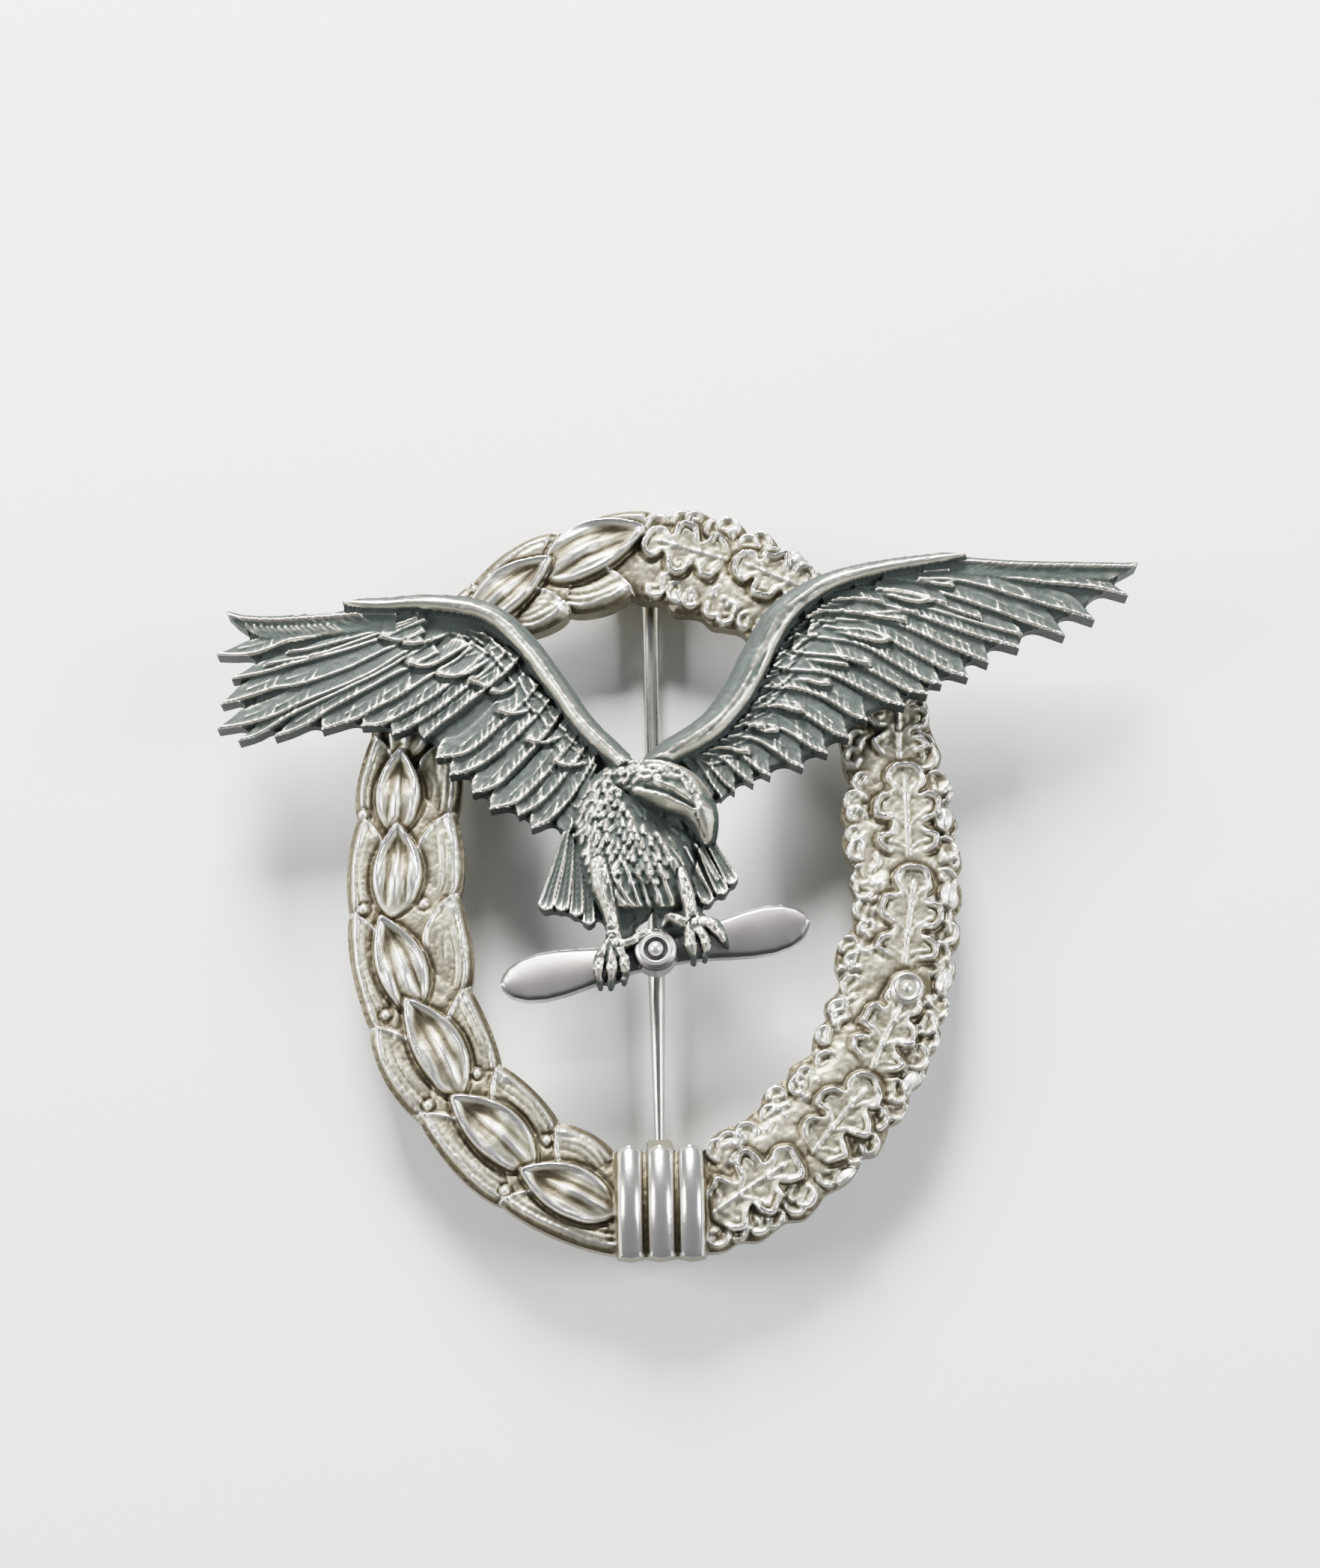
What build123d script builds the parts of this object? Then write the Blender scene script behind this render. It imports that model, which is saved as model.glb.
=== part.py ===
"""Pilot wings pin: a die-struck oval wreath, half laurel and half oak, with a spread eagle
riveted across it. The eagle carries a plain two-bladed propeller in its feet. A needle swings
on a block hinge at the top of the reverse and closes into a spring clip at the bottom.

The badge lies face up. +Z leaves the face, +Y points to the top of the badge, +X to the
viewer's right. It is drawn about the wreath's centre and then moved so that the origin is the
bottom centre of its bounding box.
"""
import math
import os

from build123d import *

# ---------------------------------------------------------------- driving dimensions, mm
WREATH_A = 17.15          # centre line of the wreath, half width
WREATH_B = 23.0           # centre line of the wreath, half height
BAND_SIDE = 3.75          # half width of the band at the sides
BAND_END = 3.25           # half width of the band at the top and bottom
WREATH_BACK = 3.0         # height of the wreath's flat back above the table
WREATH_EDGE = 4.75        # top of the band's thin border
LEAF_TOP = 5.55           # top of the middle leaves
SIDE_LEAF_TOP = 5.15      # top of the leaves beside them
TIE_R = 0.98              # radius of each of the three ribs of the tie

EAGLE_BACK = 5.9          # flat back of the eagle, lying on the wreath's leaves
FEATHER_TOP = 7.5         # long feathers
COVERT_TOP = 8.0          # short feathers nearer the wing's front edge
WING_EDGE_R = 0.72        # rounded front edge of the wing
WING_EDGE_Z = 8.0

PROP_HALF = 10.6          # half length of the propeller
PROP_CENTRE = (-0.05, -6.45)
PROP_TILT = 11.0          # degrees, the left foot grips lower than the right one
PROP_BACK = 6.05
PROP_TOP = 7.35
HUB_R = 1.45
HUB_TOP = 8.3

RIVET_LEFT = (-14.7, 12.0)
RIVET_RIGHT = (14.1, 13.2)
RIVET_R = 0.70
RIVET_HOLE_R = 0.74
RIVET_HEAD_R = 1.35
RIVET_HEAD_H = 0.75

PIN_Y = 22.3              # hinge axis, parallel to X
PIN_Z = 1.35
PIN_R = 0.42
PIN_HOLE_R = 0.42
EYE_R = 1.0               # flattened round end of the needle
EYE_HOLE_R = 0.46
EYE_W = 1.30
SLOT_W = 1.50
BLOCK_W = 5.6
BLOCK_Y0, BLOCK_Y1 = 21.45, 24.55
PLATE_T = 0.5
HINGE_PLATE_Y0, HINGE_PLATE_Y1 = 21.35, 25.2
NEEDLE_R = 0.58
NEEDLE_TAPER_Y = -7.0     # the straight shaft ends here
NEEDLE_POINT_Y = -22.6
CATCH_Y0, CATCH_Y1 = -21.3, -18.3
CATCH_IN_R = 0.46
CATCH_T = 0.42

# ---------------------------------------------------------------- outlines, mm
LEFT_WING = [(-2.4, 7.2), (-4.2, 10.0), (-5.5, 12.1), (-6.8, 14.3), (-8.1, 16.2), (-9.6, 17.8),
             (-11.4, 18.7), (-13.4, 19.1), (-16.0, 19.15), (-18.5, 19.0), (-21.35, 18.75),
             (-21.0, 18.25), (-25.0, 18.1), (-29.3, 18.3), (-28.9, 17.6), (-27.6, 16.3),
             (-30.1, 15.3), (-28.2, 14.5), (-29.1, 13.5), (-28.4, 13.0), (-29.7, 11.6),
             (-28.3, 10.9), (-29.9, 9.8), (-28.3, 9.35), (-28.45, 8.75), (-25.9, 9.05),
             (-23.3, 9.9), (-22.75, 9.5), (-20.2, 9.7), (-18.3, 10.0), (-17.85, 9.2),
             (-16.3, 9.45), (-15.65, 8.7), (-15.0, 8.4), (-15.35, 7.8), (-13.4, 7.3),
             (-13.9, 6.2), (-12.2, 6.2), (-12.4, 5.0), (-11.1, 4.95), (-11.15, 3.8),
             (-9.5, 4.0), (-9.35, 3.15), (-8.1, 3.5), (-8.4, 2.2), (-6.4, 2.5), (-3.0, 2.0),
             (-1.5, 5.0)]
RIGHT_WING = [(0.6, 7.4), (2.2, 9.0), (3.6, 10.1), (5.0, 11.5), (6.0, 13.0), (6.9, 14.6),
              (7.6, 16.2), (8.7, 17.9), (10.0, 19.3), (11.5, 20.3), (13.4, 20.8), (15.5, 21.2),
              (18.5, 21.5), (21.95, 21.6), (22.1, 21.2), (25.0, 20.95), (28.0, 20.8),
              (34.0, 20.6), (33.4, 19.8), (32.4, 19.0), (33.1, 18.4), (31.5, 17.8),
              (30.4, 17.3), (30.8, 16.8), (28.5, 16.1), (28.8, 15.5), (25.8, 15.4),
              (25.5, 14.7), (23.2, 14.2), (23.4, 13.7), (22.1, 13.2), (21.9, 12.5),
              (20.1, 12.3), (19.3, 11.8), (17.7, 11.8), (17.4, 10.7), (15.8, 10.4),
              (14.9, 9.55), (13.5, 9.0), (13.4, 8.4), (12.1, 8.0), (11.9, 7.3), (10.6, 7.2),
              (10.2, 6.35), (8.6, 6.3), (8.0, 5.75), (7.3, 5.9), (6.8, 5.25), (6.0, 5.5),
              (5.5, 4.75), (4.9, 5.0), (3.0, 3.5), (0.5, 5.0)]
LEFT_COVERTS = [(-2.8, 7.0), (-4.6, 9.6), (-7.2, 13.8), (-10.0, 17.2), (-13.5, 18.5),
                (-17.5, 18.3), (-18.7, 16.3), (-17.0, 13.9), (-14.0, 12.3), (-11.0, 9.6),
                (-8.6, 7.6), (-5.4, 6.2), (-3.6, 5.6)]
RIGHT_COVERTS = [(1.0, 7.0), (3.8, 9.6), (6.6, 13.0), (8.6, 16.8), (11.5, 19.6), (15.5, 20.8),
                 (19.0, 20.4), (19.4, 18.0), (16.8, 15.3), (13.8, 12.6), (10.6, 10.0),
                 (6.6, 8.4), (3.4, 6.8)]
LEFT_EDGE = [(-2.6, 7.3), (-4.0, 8.9), (-5.3, 10.9), (-6.6, 13.0), (-7.9, 15.0), (-9.3, 16.6),
             (-11.2, 17.95), (-13.4, 18.5), (-16.0, 18.6), (-18.6, 18.5), (-20.6, 18.55)]
RIGHT_EDGE = [(1.6, 7.9), (3.4, 9.1), (4.9, 10.5), (6.1, 12.2), (7.0, 14.0), (7.9, 15.9),
              (9.0, 17.6), (10.4, 18.95), (12.2, 19.95), (14.4, 20.45), (17.2, 20.85),
              (21.2, 21.2)]
TRUNK = [(-2.4, 7.2), (-0.6, 7.5), (0.6, 7.4), (3.0, 6.0), (4.3, 4.4), (4.4, 2.4), (4.0, 1.0),
         (5.5, -1.3), (4.9, -1.5), (4.75, -2.1), (4.2, -2.2), (3.85, -2.65), (2.7, -2.5),
         (2.6, -3.6), (1.2, -3.6), (0.6, -2.6), (-0.2, -2.2), (-1.4, -2.9), (-1.9, -4.2),
         (-3.6, -4.2), (-4.4, -3.95), (-5.0, -3.2), (-5.4, -3.45), (-6.1, -2.9), (-6.5, -3.2),
         (-7.1, -2.9), (-7.6, -3.15), (-7.95, -2.75), (-7.2, -0.6), (-6.2, 1.9), (-5.2, 3.0),
         (-4.6, 5.0)]

LAUREL_TIPS = [9.9, 16.6, 23.7, 30.3, 36.9, 43.4, 50.0, 56.7, 63.3]
OAK_TIPS = [9.6, 16.8, 24.2, 31.8, 39.2, 45.8, 51.6, 57.2, 63.2]

# ---------------------------------------------------------------- wreath centre line
N = 4000
_pts = [(WREATH_A * math.sin(math.pi * i / N), -WREATH_B * math.cos(math.pi * i / N)) for i in range(N + 1)]
_len = [0.0]
for _p, _q in zip(_pts, _pts[1:]):
    _len.append(_len[-1] + math.dist(_p, _q))
HALF = _len[-1]


def on_line(s, side):
    """Point, unit tangent and unit outward normal at arc length s from the bottom."""
    s = min(max(s, 0.0), HALF)
    lo, hi = 0, N
    while hi - lo > 1:
        mid = (lo + hi) // 2
        lo, hi = (mid, hi) if _len[mid] <= s else (lo, mid)
    f = (s - _len[lo]) / max(_len[hi] - _len[lo], 1e-9)
    x = _pts[lo][0] + f * (_pts[hi][0] - _pts[lo][0])
    y = _pts[lo][1] + f * (_pts[hi][1] - _pts[lo][1])
    tx, ty = _pts[hi][0] - _pts[lo][0], _pts[hi][1] - _pts[lo][1]
    n = math.hypot(tx, ty)
    tx, ty = tx / n, ty / n
    return (side * x, y), (side * tx, ty), (side * ty, -tx)


def place(s, off, side):
    p, t, n = on_line(s, side)
    return p[0] + n[0] * off, p[1] + n[1] * off


def half_width(s):
    p, _, _ = on_line(s, 1)
    k = abs(p[0]) / WREATH_A
    return BAND_END + (BAND_SIDE - BAND_END) * k * k


def scallop(s, side, tips, edge):
    """Half width of the band with its leaf ends standing out of the border."""
    lo = max([0.0] + [t for t in tips if t <= s])
    hi = min([t for t in tips if t > s] + [HALF + 3.0])
    k = (s - lo) / (hi - lo)
    w = half_width(s)
    if side < 0:      # laurel: one long lobe a leaf
        return w - 0.45 + 0.55 * math.sin(math.pi * k) ** 0.7
    return w - 0.35 + 0.5 * abs(math.sin(3 * math.pi * k)) ** 0.8


def ring_outline(edge):
    pts = []
    step = 0.42
    n = int(HALF / step)
    for i in range(n + 1):          # right side, bottom to top
        s = HALF * i / n
        pts.append(place(s, edge * scallop(s, 1, OAK_TIPS, edge), 1))
    for i in range(1, n):           # left side, top to bottom
        s = HALF * (n - i) / n
        pts.append(place(s, edge * scallop(s, -1, LAUREL_TIPS, edge), -1))
    return pts


def prism(points, z0, z1):
    """Closed polygon extruded from z0 to z1."""
    face = Face(Wire.make_polygon([(x, y, z0) for x, y in points], close=True))
    return extrude(face, z1 - z0, dir=(0, 0, 1))


def almond(p0, p1, w, n=9):
    """Laurel leaf outline from its base p0 to its tip p1."""
    dx, dy = p1[0] - p0[0], p1[1] - p0[1]
    L = math.hypot(dx, dy)
    ux, uy = dx / L, dy / L
    up, down = [], []
    for i in range(1, n):
        k = i / n
        h = 0.5 * w * math.sin(math.pi * k ** 0.9) ** 0.8
        up.append((p0[0] + ux * L * k - uy * h, p0[1] + uy * L * k + ux * h))
        down.append((p0[0] + ux * L * k + uy * h, p0[1] + uy * L * k - ux * h))
    return [p0] + down + [p1] + up[::-1]


def oak(p0, p1, w):
    """Oak leaf outline from its stalk p0 to its tip p1, three lobes a side and one at the tip."""
    dx, dy = p1[0] - p0[0], p1[1] - p0[1]
    L = math.hypot(dx, dy)
    ux, uy = dx / L, dy / L
    half = [(0.00, 0.10), (0.10, 0.45), (0.20, 0.62), (0.30, 0.50), (0.36, 0.34), (0.44, 0.80),
            (0.54, 1.00), (0.64, 0.86), (0.70, 0.46), (0.78, 0.60), (0.88, 0.55), (0.96, 0.34),
            (1.00, 0.10)]
    up = [(p0[0] + ux * L * k - uy * h * w / 2, p0[1] + uy * L * k + ux * h * w / 2) for k, h in half]
    down = [(p0[0] + ux * L * k + uy * h * w / 2, p0[1] + uy * L * k - ux * h * w / 2) for k, h in half]
    return down + up[::-1]


def cyl_between(a, b, r):
    """Plain cylinder from a to b."""
    d = Vector(*b) - Vector(*a)
    return Plane(origin=a, z_dir=tuple(d)) * Cylinder(r, d.length, align=(Align.CENTER, Align.CENTER, Align.MIN))


def spheroid(a, b, r):
    """Round ellipsoid whose long axis ends at a and b."""
    axis = Vector(*b) - Vector(*a)
    h = axis.length / 2
    arc = Spline([(-h * math.cos(math.pi * i / 8), r * math.sin(math.pi * i / 8)) for i in range(9)],
                 tangents=[(0, 1), (0, -1)])
    half = make_face(Line((h, 0), (-h, 0)) + arc)
    body = revolve(half, Axis.X)
    mid = (Vector(*a) + Vector(*b)) * 0.5
    return Plane(origin=tuple(mid), x_dir=tuple(axis), z_dir=tuple(axis.cross(Vector(-axis.Y, axis.X, 0)))) * body


def rod(a, b, ra, rb):
    """Round-ended cone from a to b."""
    d = Vector(*b) - Vector(*a)
    body = Plane(origin=a, z_dir=tuple(d)) * Cone(ra, rb, d.length, align=(Align.CENTER, Align.CENTER, Align.MIN))
    return body + Pos(*a) * Sphere(ra) + Pos(*b) * Sphere(rb)


def above(shape, z):
    """The part of shape over height z."""
    return shape & Pos(0, 0, z) * Box(120, 120, 40, align=(Align.CENTER, Align.CENTER, Align.MIN))


# ---------------------------------------------------------------- wreath
wreath = prism(ring_outline(1), WREATH_BACK, WREATH_EDGE) - prism(ring_outline(-1), WREATH_BACK - 1, WREATH_EDGE + 1)
leaves = []
for t in LAUREL_TIPS:
    tip, base = t, max(t - 6.9, 2.6)
    leaves.append(prism(almond(place(base, 0.9, -1), place(tip, 1.25 if t < 60 else 0.9, -1), 2.8), WREATH_EDGE - 0.2, LEAF_TOP))
    leaves.append(prism(almond(place(base, -0.6, -1), place(tip - 0.2, -2.0, -1), 2.7), WREATH_EDGE - 0.2, SIDE_LEAF_TOP))
for t in OAK_TIPS:
    tip, base = t, max(t - 6.4, 3.0)
    leaves.append(prism(oak(place(base, 0.5, 1), place(tip, 0.7, 1), 4.0), WREATH_EDGE - 0.2, LEAF_TOP - 0.05))
tie = [Pos(x, -WREATH_B + 0.02, 4.72) * Rot(90, 0, 0) * Cylinder(TIE_R, 2 * BAND_END + 0.1) for x in (-2.0, 0.0, 2.0)]
tie = [above(c, WREATH_BACK) for c in tie]
pads = [Pos(x, y, WREATH_BACK) * Cylinder(1.7, EAGLE_BACK - WREATH_BACK, align=(Align.CENTER, Align.CENTER, Align.MIN))
        for x, y in (RIVET_LEFT, RIVET_RIGHT)]
wreath = wreath + leaves + tie + pads
wreath = wreath & Pos(0, 0, WREATH_BACK) * Box(80, 80, 20, align=(Align.CENTER, Align.CENTER, Align.MIN))
for x, y in (RIVET_LEFT, RIVET_RIGHT):
    wreath -= Pos(x, y, 0) * Cylinder(RIVET_HOLE_R, 20)

# ---------------------------------------------------------------- eagle
eagle = prism(LEFT_WING, EAGLE_BACK, FEATHER_TOP) + prism(RIGHT_WING, EAGLE_BACK, FEATHER_TOP)
eagle += prism(TRUNK, EAGLE_BACK, FEATHER_TOP - 0.25)
eagle += [prism(LEFT_COVERTS, FEATHER_TOP - 0.2, COVERT_TOP), prism(RIGHT_COVERTS, FEATHER_TOP - 0.2, COVERT_TOP)]
for path in (LEFT_EDGE, RIGHT_EDGE):
    n = len(path) - 1
    for i in range(n):
        r = WING_EDGE_R * (1.05 - 0.45 * i / n)
        a, b = path[i], path[i + 1]
        eagle += cyl_between((a[0], a[1], WING_EDGE_Z), (b[0], b[1], WING_EDGE_Z), r)
        eagle += Pos(b[0], b[1], WING_EDGE_Z) * Sphere(r)
body = [spheroid((-3.3, -1.6, 7.0), (-1.0, 5.8, 7.4), 3.1),
        spheroid((-1.6, 5.0, 8.0), (2.9, 4.2, 8.2), 1.75),
        spheroid((2.3, 4.6, 8.1), (3.6, 1.4, 8.0), 1.1)]
legs = [rod((-3.3, -1.2, 7.9), (-2.9, -5.4, 8.0), 1.15, 0.72), rod((1.0, -0.6, 7.9), (2.2, -4.6, 8.0), 1.15, 0.72)]
toes = [((-2.9, -5.6), (-3.9, -7.9)), ((-2.9, -5.8), (-2.75, -8.1)), ((-2.8, -5.6), (-1.85, -5.3)),
        ((2.2, -4.7), (1.3, -4.4)), ((2.3, -4.8), (2.35, -6.9)), ((2.4, -4.7), (4.1, -6.0))]
for piece in body:
    eagle += above(piece, EAGLE_BACK + 0.4)
for piece in legs:
    eagle += above(piece, PROP_TOP)
for a, b in toes:
    eagle += above(rod((a[0], a[1], 7.75), (b[0], b[1], 7.6), 0.5, 0.34), PROP_TOP)
# the propeller lies under the toes
c, s = math.cos(math.radians(PROP_TILT)), math.sin(math.radians(PROP_TILT))


def prop_points(grow=0.0):
    """Propeller outline in its own frame: narrow by the hub, widest past half way, round tips."""
    half = [(0.0, 0.95), (1.6, 0.92), (3.2, 1.05), (4.8, 1.32), (6.4, 1.55), (7.8, 1.62), (9.0, 1.45),
            (9.9, 1.05), (10.4, 0.55)]
    pts = [(x, w + grow) for x, w in half] + [(PROP_HALF + grow, 0.0)]
    right = pts + [(x, -w) for x, w in pts[-2::-1]]
    left = [(-x, w) for x, w in right if x > 0][::1]
    loop = right + [(-x, -w) for x, w in right if x > 0]
    return [(PROP_CENTRE[0] + c * x - s * y, PROP_CENTRE[1] + s * x + c * y) for x, y in loop]


propeller = prism(prop_points(), PROP_BACK, PROP_TOP)
propeller = chamfer(propeller.faces().sort_by(Axis.Z)[-1].edges(), 0.35)
hub = Pos(PROP_CENTRE[0], PROP_CENTRE[1], PROP_BACK) * Cylinder(HUB_R, HUB_TOP - PROP_BACK, align=(Align.CENTER, Align.CENTER, Align.MIN))
hub = fillet(hub.faces().sort_by(Axis.Z)[-1].edges(), 0.6)
propeller += hub
parts = sorted(eagle.solids(), key=lambda q: -q.volume)
eagle = parts[0]
print("eagle solids", [round(q.volume, 2) for q in parts])

# ---------------------------------------------------------------- rivets
rivets = {}
for name, (x, y) in (("rivet_left", RIVET_LEFT), ("rivet_right", RIVET_RIGHT)):
    shank = Pos(x, y, WREATH_BACK - 0.1) * Cylinder(RIVET_R, EAGLE_BACK - WREATH_BACK + 0.1, align=(Align.CENTER, Align.CENTER, Align.MIN))
    head = Pos(x, y, WREATH_BACK - RIVET_HEAD_H) * Cylinder(RIVET_HEAD_R, RIVET_HEAD_H, align=(Align.CENTER, Align.CENTER, Align.MIN))
    head = fillet(head.faces().sort_by(Axis.Z)[0].edges(), 0.55)
    rivets[name] = shank + head

# ---------------------------------------------------------------- hinge
hinge_plate = Pos(0, (HINGE_PLATE_Y0 + HINGE_PLATE_Y1) / 2, WREATH_BACK - PLATE_T) * Box(7.2, HINGE_PLATE_Y1 - HINGE_PLATE_Y0, PLATE_T, align=(Align.CENTER, Align.CENTER, Align.MIN))
hinge_plate = fillet(hinge_plate.edges().filter_by(Axis.Z), 0.7)
top = WREATH_BACK - PLATE_T
hinge_block = Pos(0, (BLOCK_Y0 + BLOCK_Y1) / 2, 0) * Box(BLOCK_W, BLOCK_Y1 - BLOCK_Y0, top, align=(Align.CENTER, Align.CENTER, Align.MIN))
hinge_block = fillet(hinge_block.edges().filter_by(Axis.X).sort_by(Axis.Z)[:2], 0.7)
hinge_block = chamfer(hinge_block.edges().filter_by(Axis.Y).sort_by(Axis.Z)[:2], 0.25)
slot_y1 = PIN_Y + EYE_R + 0.12
hinge_block -= Pos(0, (BLOCK_Y0 - 1 + slot_y1) / 2, 0) * Box(SLOT_W, slot_y1 - BLOCK_Y0 + 1, 2 * (PIN_Z + EYE_R + 0.5))
hinge_block -= Pos(0, PIN_Y, PIN_Z) * Rot(0, 90, 0) * Cylinder(PIN_HOLE_R, 20)
hinge_pin = Pos(0, PIN_Y, PIN_Z) * Rot(0, 90, 0) * Cylinder(PIN_R, BLOCK_W + 0.5)
hinge_pin = chamfer(hinge_pin.edges(), 0.14)

# ---------------------------------------------------------------- needle
eye = Pos(0, PIN_Y, PIN_Z) * Rot(0, 90, 0) * Cylinder(EYE_R, EYE_W)
eye = chamfer(eye.edges(), 0.12)
shaft = Pos(0, PIN_Y - 0.6, PIN_Z) * Rot(90, 0, 0) * Cylinder(NEEDLE_R, PIN_Y - 0.6 - NEEDLE_TAPER_Y, align=(Align.CENTER, Align.CENTER, Align.MIN))
taper_len = NEEDLE_TAPER_Y - (NEEDLE_POINT_Y + 2.4)
taper = Pos(0, NEEDLE_TAPER_Y, PIN_Z) * Rot(90, 0, 0) * Cone(NEEDLE_R, 0.27, taper_len, align=(Align.CENTER, Align.CENTER, Align.MIN))
point = Pos(0, NEEDLE_POINT_Y + 2.4, PIN_Z) * Rot(90, 0, 0) * Cone(0.27, 0.05, 2.4, align=(Align.CENTER, Align.CENTER, Align.MIN))
needle = eye + shaft + taper + point
needle -= Pos(0, PIN_Y, PIN_Z) * Rot(0, 90, 0) * Cylinder(EYE_HOLE_R, 20)

# ---------------------------------------------------------------- catch
catch_plate = Pos(0, -22.2, WREATH_BACK - PLATE_T) * Box(4.6, 3.6, PLATE_T, align=(Align.CENTER, Align.CENTER, Align.MIN))
catch_plate = fillet(catch_plate.edges().filter_by(Axis.Z), 0.6)
r0, r1 = CATCH_IN_R, CATCH_IN_R + CATCH_T
lip = 0.36                      # half gap of the mouth, just over the needle's radius there
ring = Pos(0, 0, 0) * (Circle(r1) - Circle(r0))
arms = Pos(r0 + CATCH_T / 2, -PIN_Z / 2) * Rectangle(CATCH_T, PIN_Z) + Pos(-r0 - CATCH_T / 2, -PIN_Z / 2) * Rectangle(CATCH_T, PIN_Z)
upper = ring & Pos(0, 2) * Rectangle(8, 4)
foot = Pos(0, (top - PIN_Z + r0) / 2 + 0.02) * Rectangle(1.5, top - PIN_Z - r0 - 0.04)
curl = Pos(lip + 0.22, -0.62) * Circle(0.22) + Pos(-lip - 0.22, -0.62) * Circle(0.22)
profile = upper + arms + foot + curl
profile = profile - Circle(r0) & Pos(0, 0) * Rectangle(8, 8)
hook = extrude(Plane.XZ.offset(-CATCH_Y1) * profile, CATCH_Y1 - CATCH_Y0)
catch_hook = Pos(0, 0, PIN_Z) * hook

nodes = {"wreath": wreath, "eagle": eagle, "propeller": propeller, **rivets,
         "hinge_plate": hinge_plate, "hinge_block": hinge_block, "hinge_pin": hinge_pin,
         "needle": needle, "catch_plate": catch_plate, "catch_hook": catch_hook}

# ---------------------------------------------------------------- origin and export
box = Compound([q for shape in nodes.values() for q in shape.solids()]).bounding_box()
cx, cy, cz = (box.min.X + box.max.X) / 2, (box.min.Y + box.max.Y) / 2, box.min.Z
print("box", box.min, box.max, "shift", -cx, -cy, -cz)
os.makedirs("parts", exist_ok=True)
for name, shape in nodes.items():
    solids = shape.solids()
    out = Pos(-cx, -cy, -cz) * (solids[0] if len(solids) == 1 else Compound(solids))
    print(name, len(solids), "volume", round(sum(q.volume for q in solids), 2))
    export_step(out, f"parts/{name}.step")
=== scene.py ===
import math

import bmesh
import bpy
import numpy as np
from mathutils import Matrix, Vector


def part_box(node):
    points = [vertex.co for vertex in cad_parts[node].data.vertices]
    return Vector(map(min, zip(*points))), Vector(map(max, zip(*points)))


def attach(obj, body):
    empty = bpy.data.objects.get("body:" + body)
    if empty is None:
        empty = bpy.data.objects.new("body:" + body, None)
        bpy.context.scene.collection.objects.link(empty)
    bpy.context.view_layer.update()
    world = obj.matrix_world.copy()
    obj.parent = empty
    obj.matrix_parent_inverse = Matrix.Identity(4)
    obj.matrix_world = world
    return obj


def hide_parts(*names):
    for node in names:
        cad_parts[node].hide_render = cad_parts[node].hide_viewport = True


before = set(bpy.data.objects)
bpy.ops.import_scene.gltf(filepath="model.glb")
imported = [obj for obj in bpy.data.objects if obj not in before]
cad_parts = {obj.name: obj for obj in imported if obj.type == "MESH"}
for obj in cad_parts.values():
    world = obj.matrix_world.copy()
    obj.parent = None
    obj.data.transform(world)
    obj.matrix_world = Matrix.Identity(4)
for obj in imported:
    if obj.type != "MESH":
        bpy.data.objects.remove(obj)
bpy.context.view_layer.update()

MM = 0.001
# the row frame is the wreath-centred drawing moved sideways
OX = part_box("eagle")[0].x / MM + 30.1
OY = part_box("needle")[0].y / MM + 22.6
RNG = np.random.RandomState(11)

WREATH_BACK, EAGLE_BACK = 3.0, 5.9


# ------------------------------------------------------------------ small maths
def smooth01(t):
    t = np.clip(t, 0.0, 1.0)
    return t * t * (3 - 2 * t)


def spline(points, step=0.35):
    """Catmull-Rom line through the points, resampled."""
    p = np.array(points, float)
    if len(p) < 3:
        return p
    q = np.vstack([2 * p[0] - p[1], p, 2 * p[-1] - p[-2]])
    out = []
    for i in range(1, len(q) - 2):
        n = max(2, int(np.linalg.norm(q[i + 1] - q[i]) / step))
        for k in range(n):
            t = k / n
            out.append(0.5 * ((2 * q[i]) + (-q[i - 1] + q[i + 1]) * t
                              + (2 * q[i - 1] - 5 * q[i] + 4 * q[i + 1] - q[i + 2]) * t * t
                              + (-q[i - 1] + 3 * q[i] - 3 * q[i + 1] + q[i + 2]) * t ** 3))
    out.append(p[-1])
    return np.array(out)


def noise2(x, y, scale, seed=0):
    """Smooth value noise, -1 to 1."""
    u, v = x / scale, y / scale
    iu, iv = np.floor(u).astype(int), np.floor(v).astype(int)
    fu, fv = smooth01(u - iu), smooth01(v - iv)

    def h(a, b):
        n = (a * 374761393 + b * 668265263 + seed * 974711) & 0x7FFFFFFF
        n = ((n ^ (n >> 13)) * 1274126177) & 0x7FFFFFFF
        return ((n ^ (n >> 16)) & 0xFFFF) / 32767.5 - 1.0

    return ((h(iu, iv) * (1 - fu) + h(iu + 1, iv) * fu) * (1 - fv)
            + (h(iu, iv + 1) * (1 - fu) + h(iu + 1, iv + 1) * fu) * fv)


def blur(a, sigma, step):
    r = max(1, int(3 * sigma / step))
    k = np.exp(-0.5 * (np.arange(-r, r + 1) * step / sigma) ** 2)
    k /= k.sum()
    b = np.apply_along_axis(lambda m: np.convolve(m, k, "same"), 0, a)
    return np.apply_along_axis(lambda m: np.convolve(m, k, "same"), 1, b)


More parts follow.
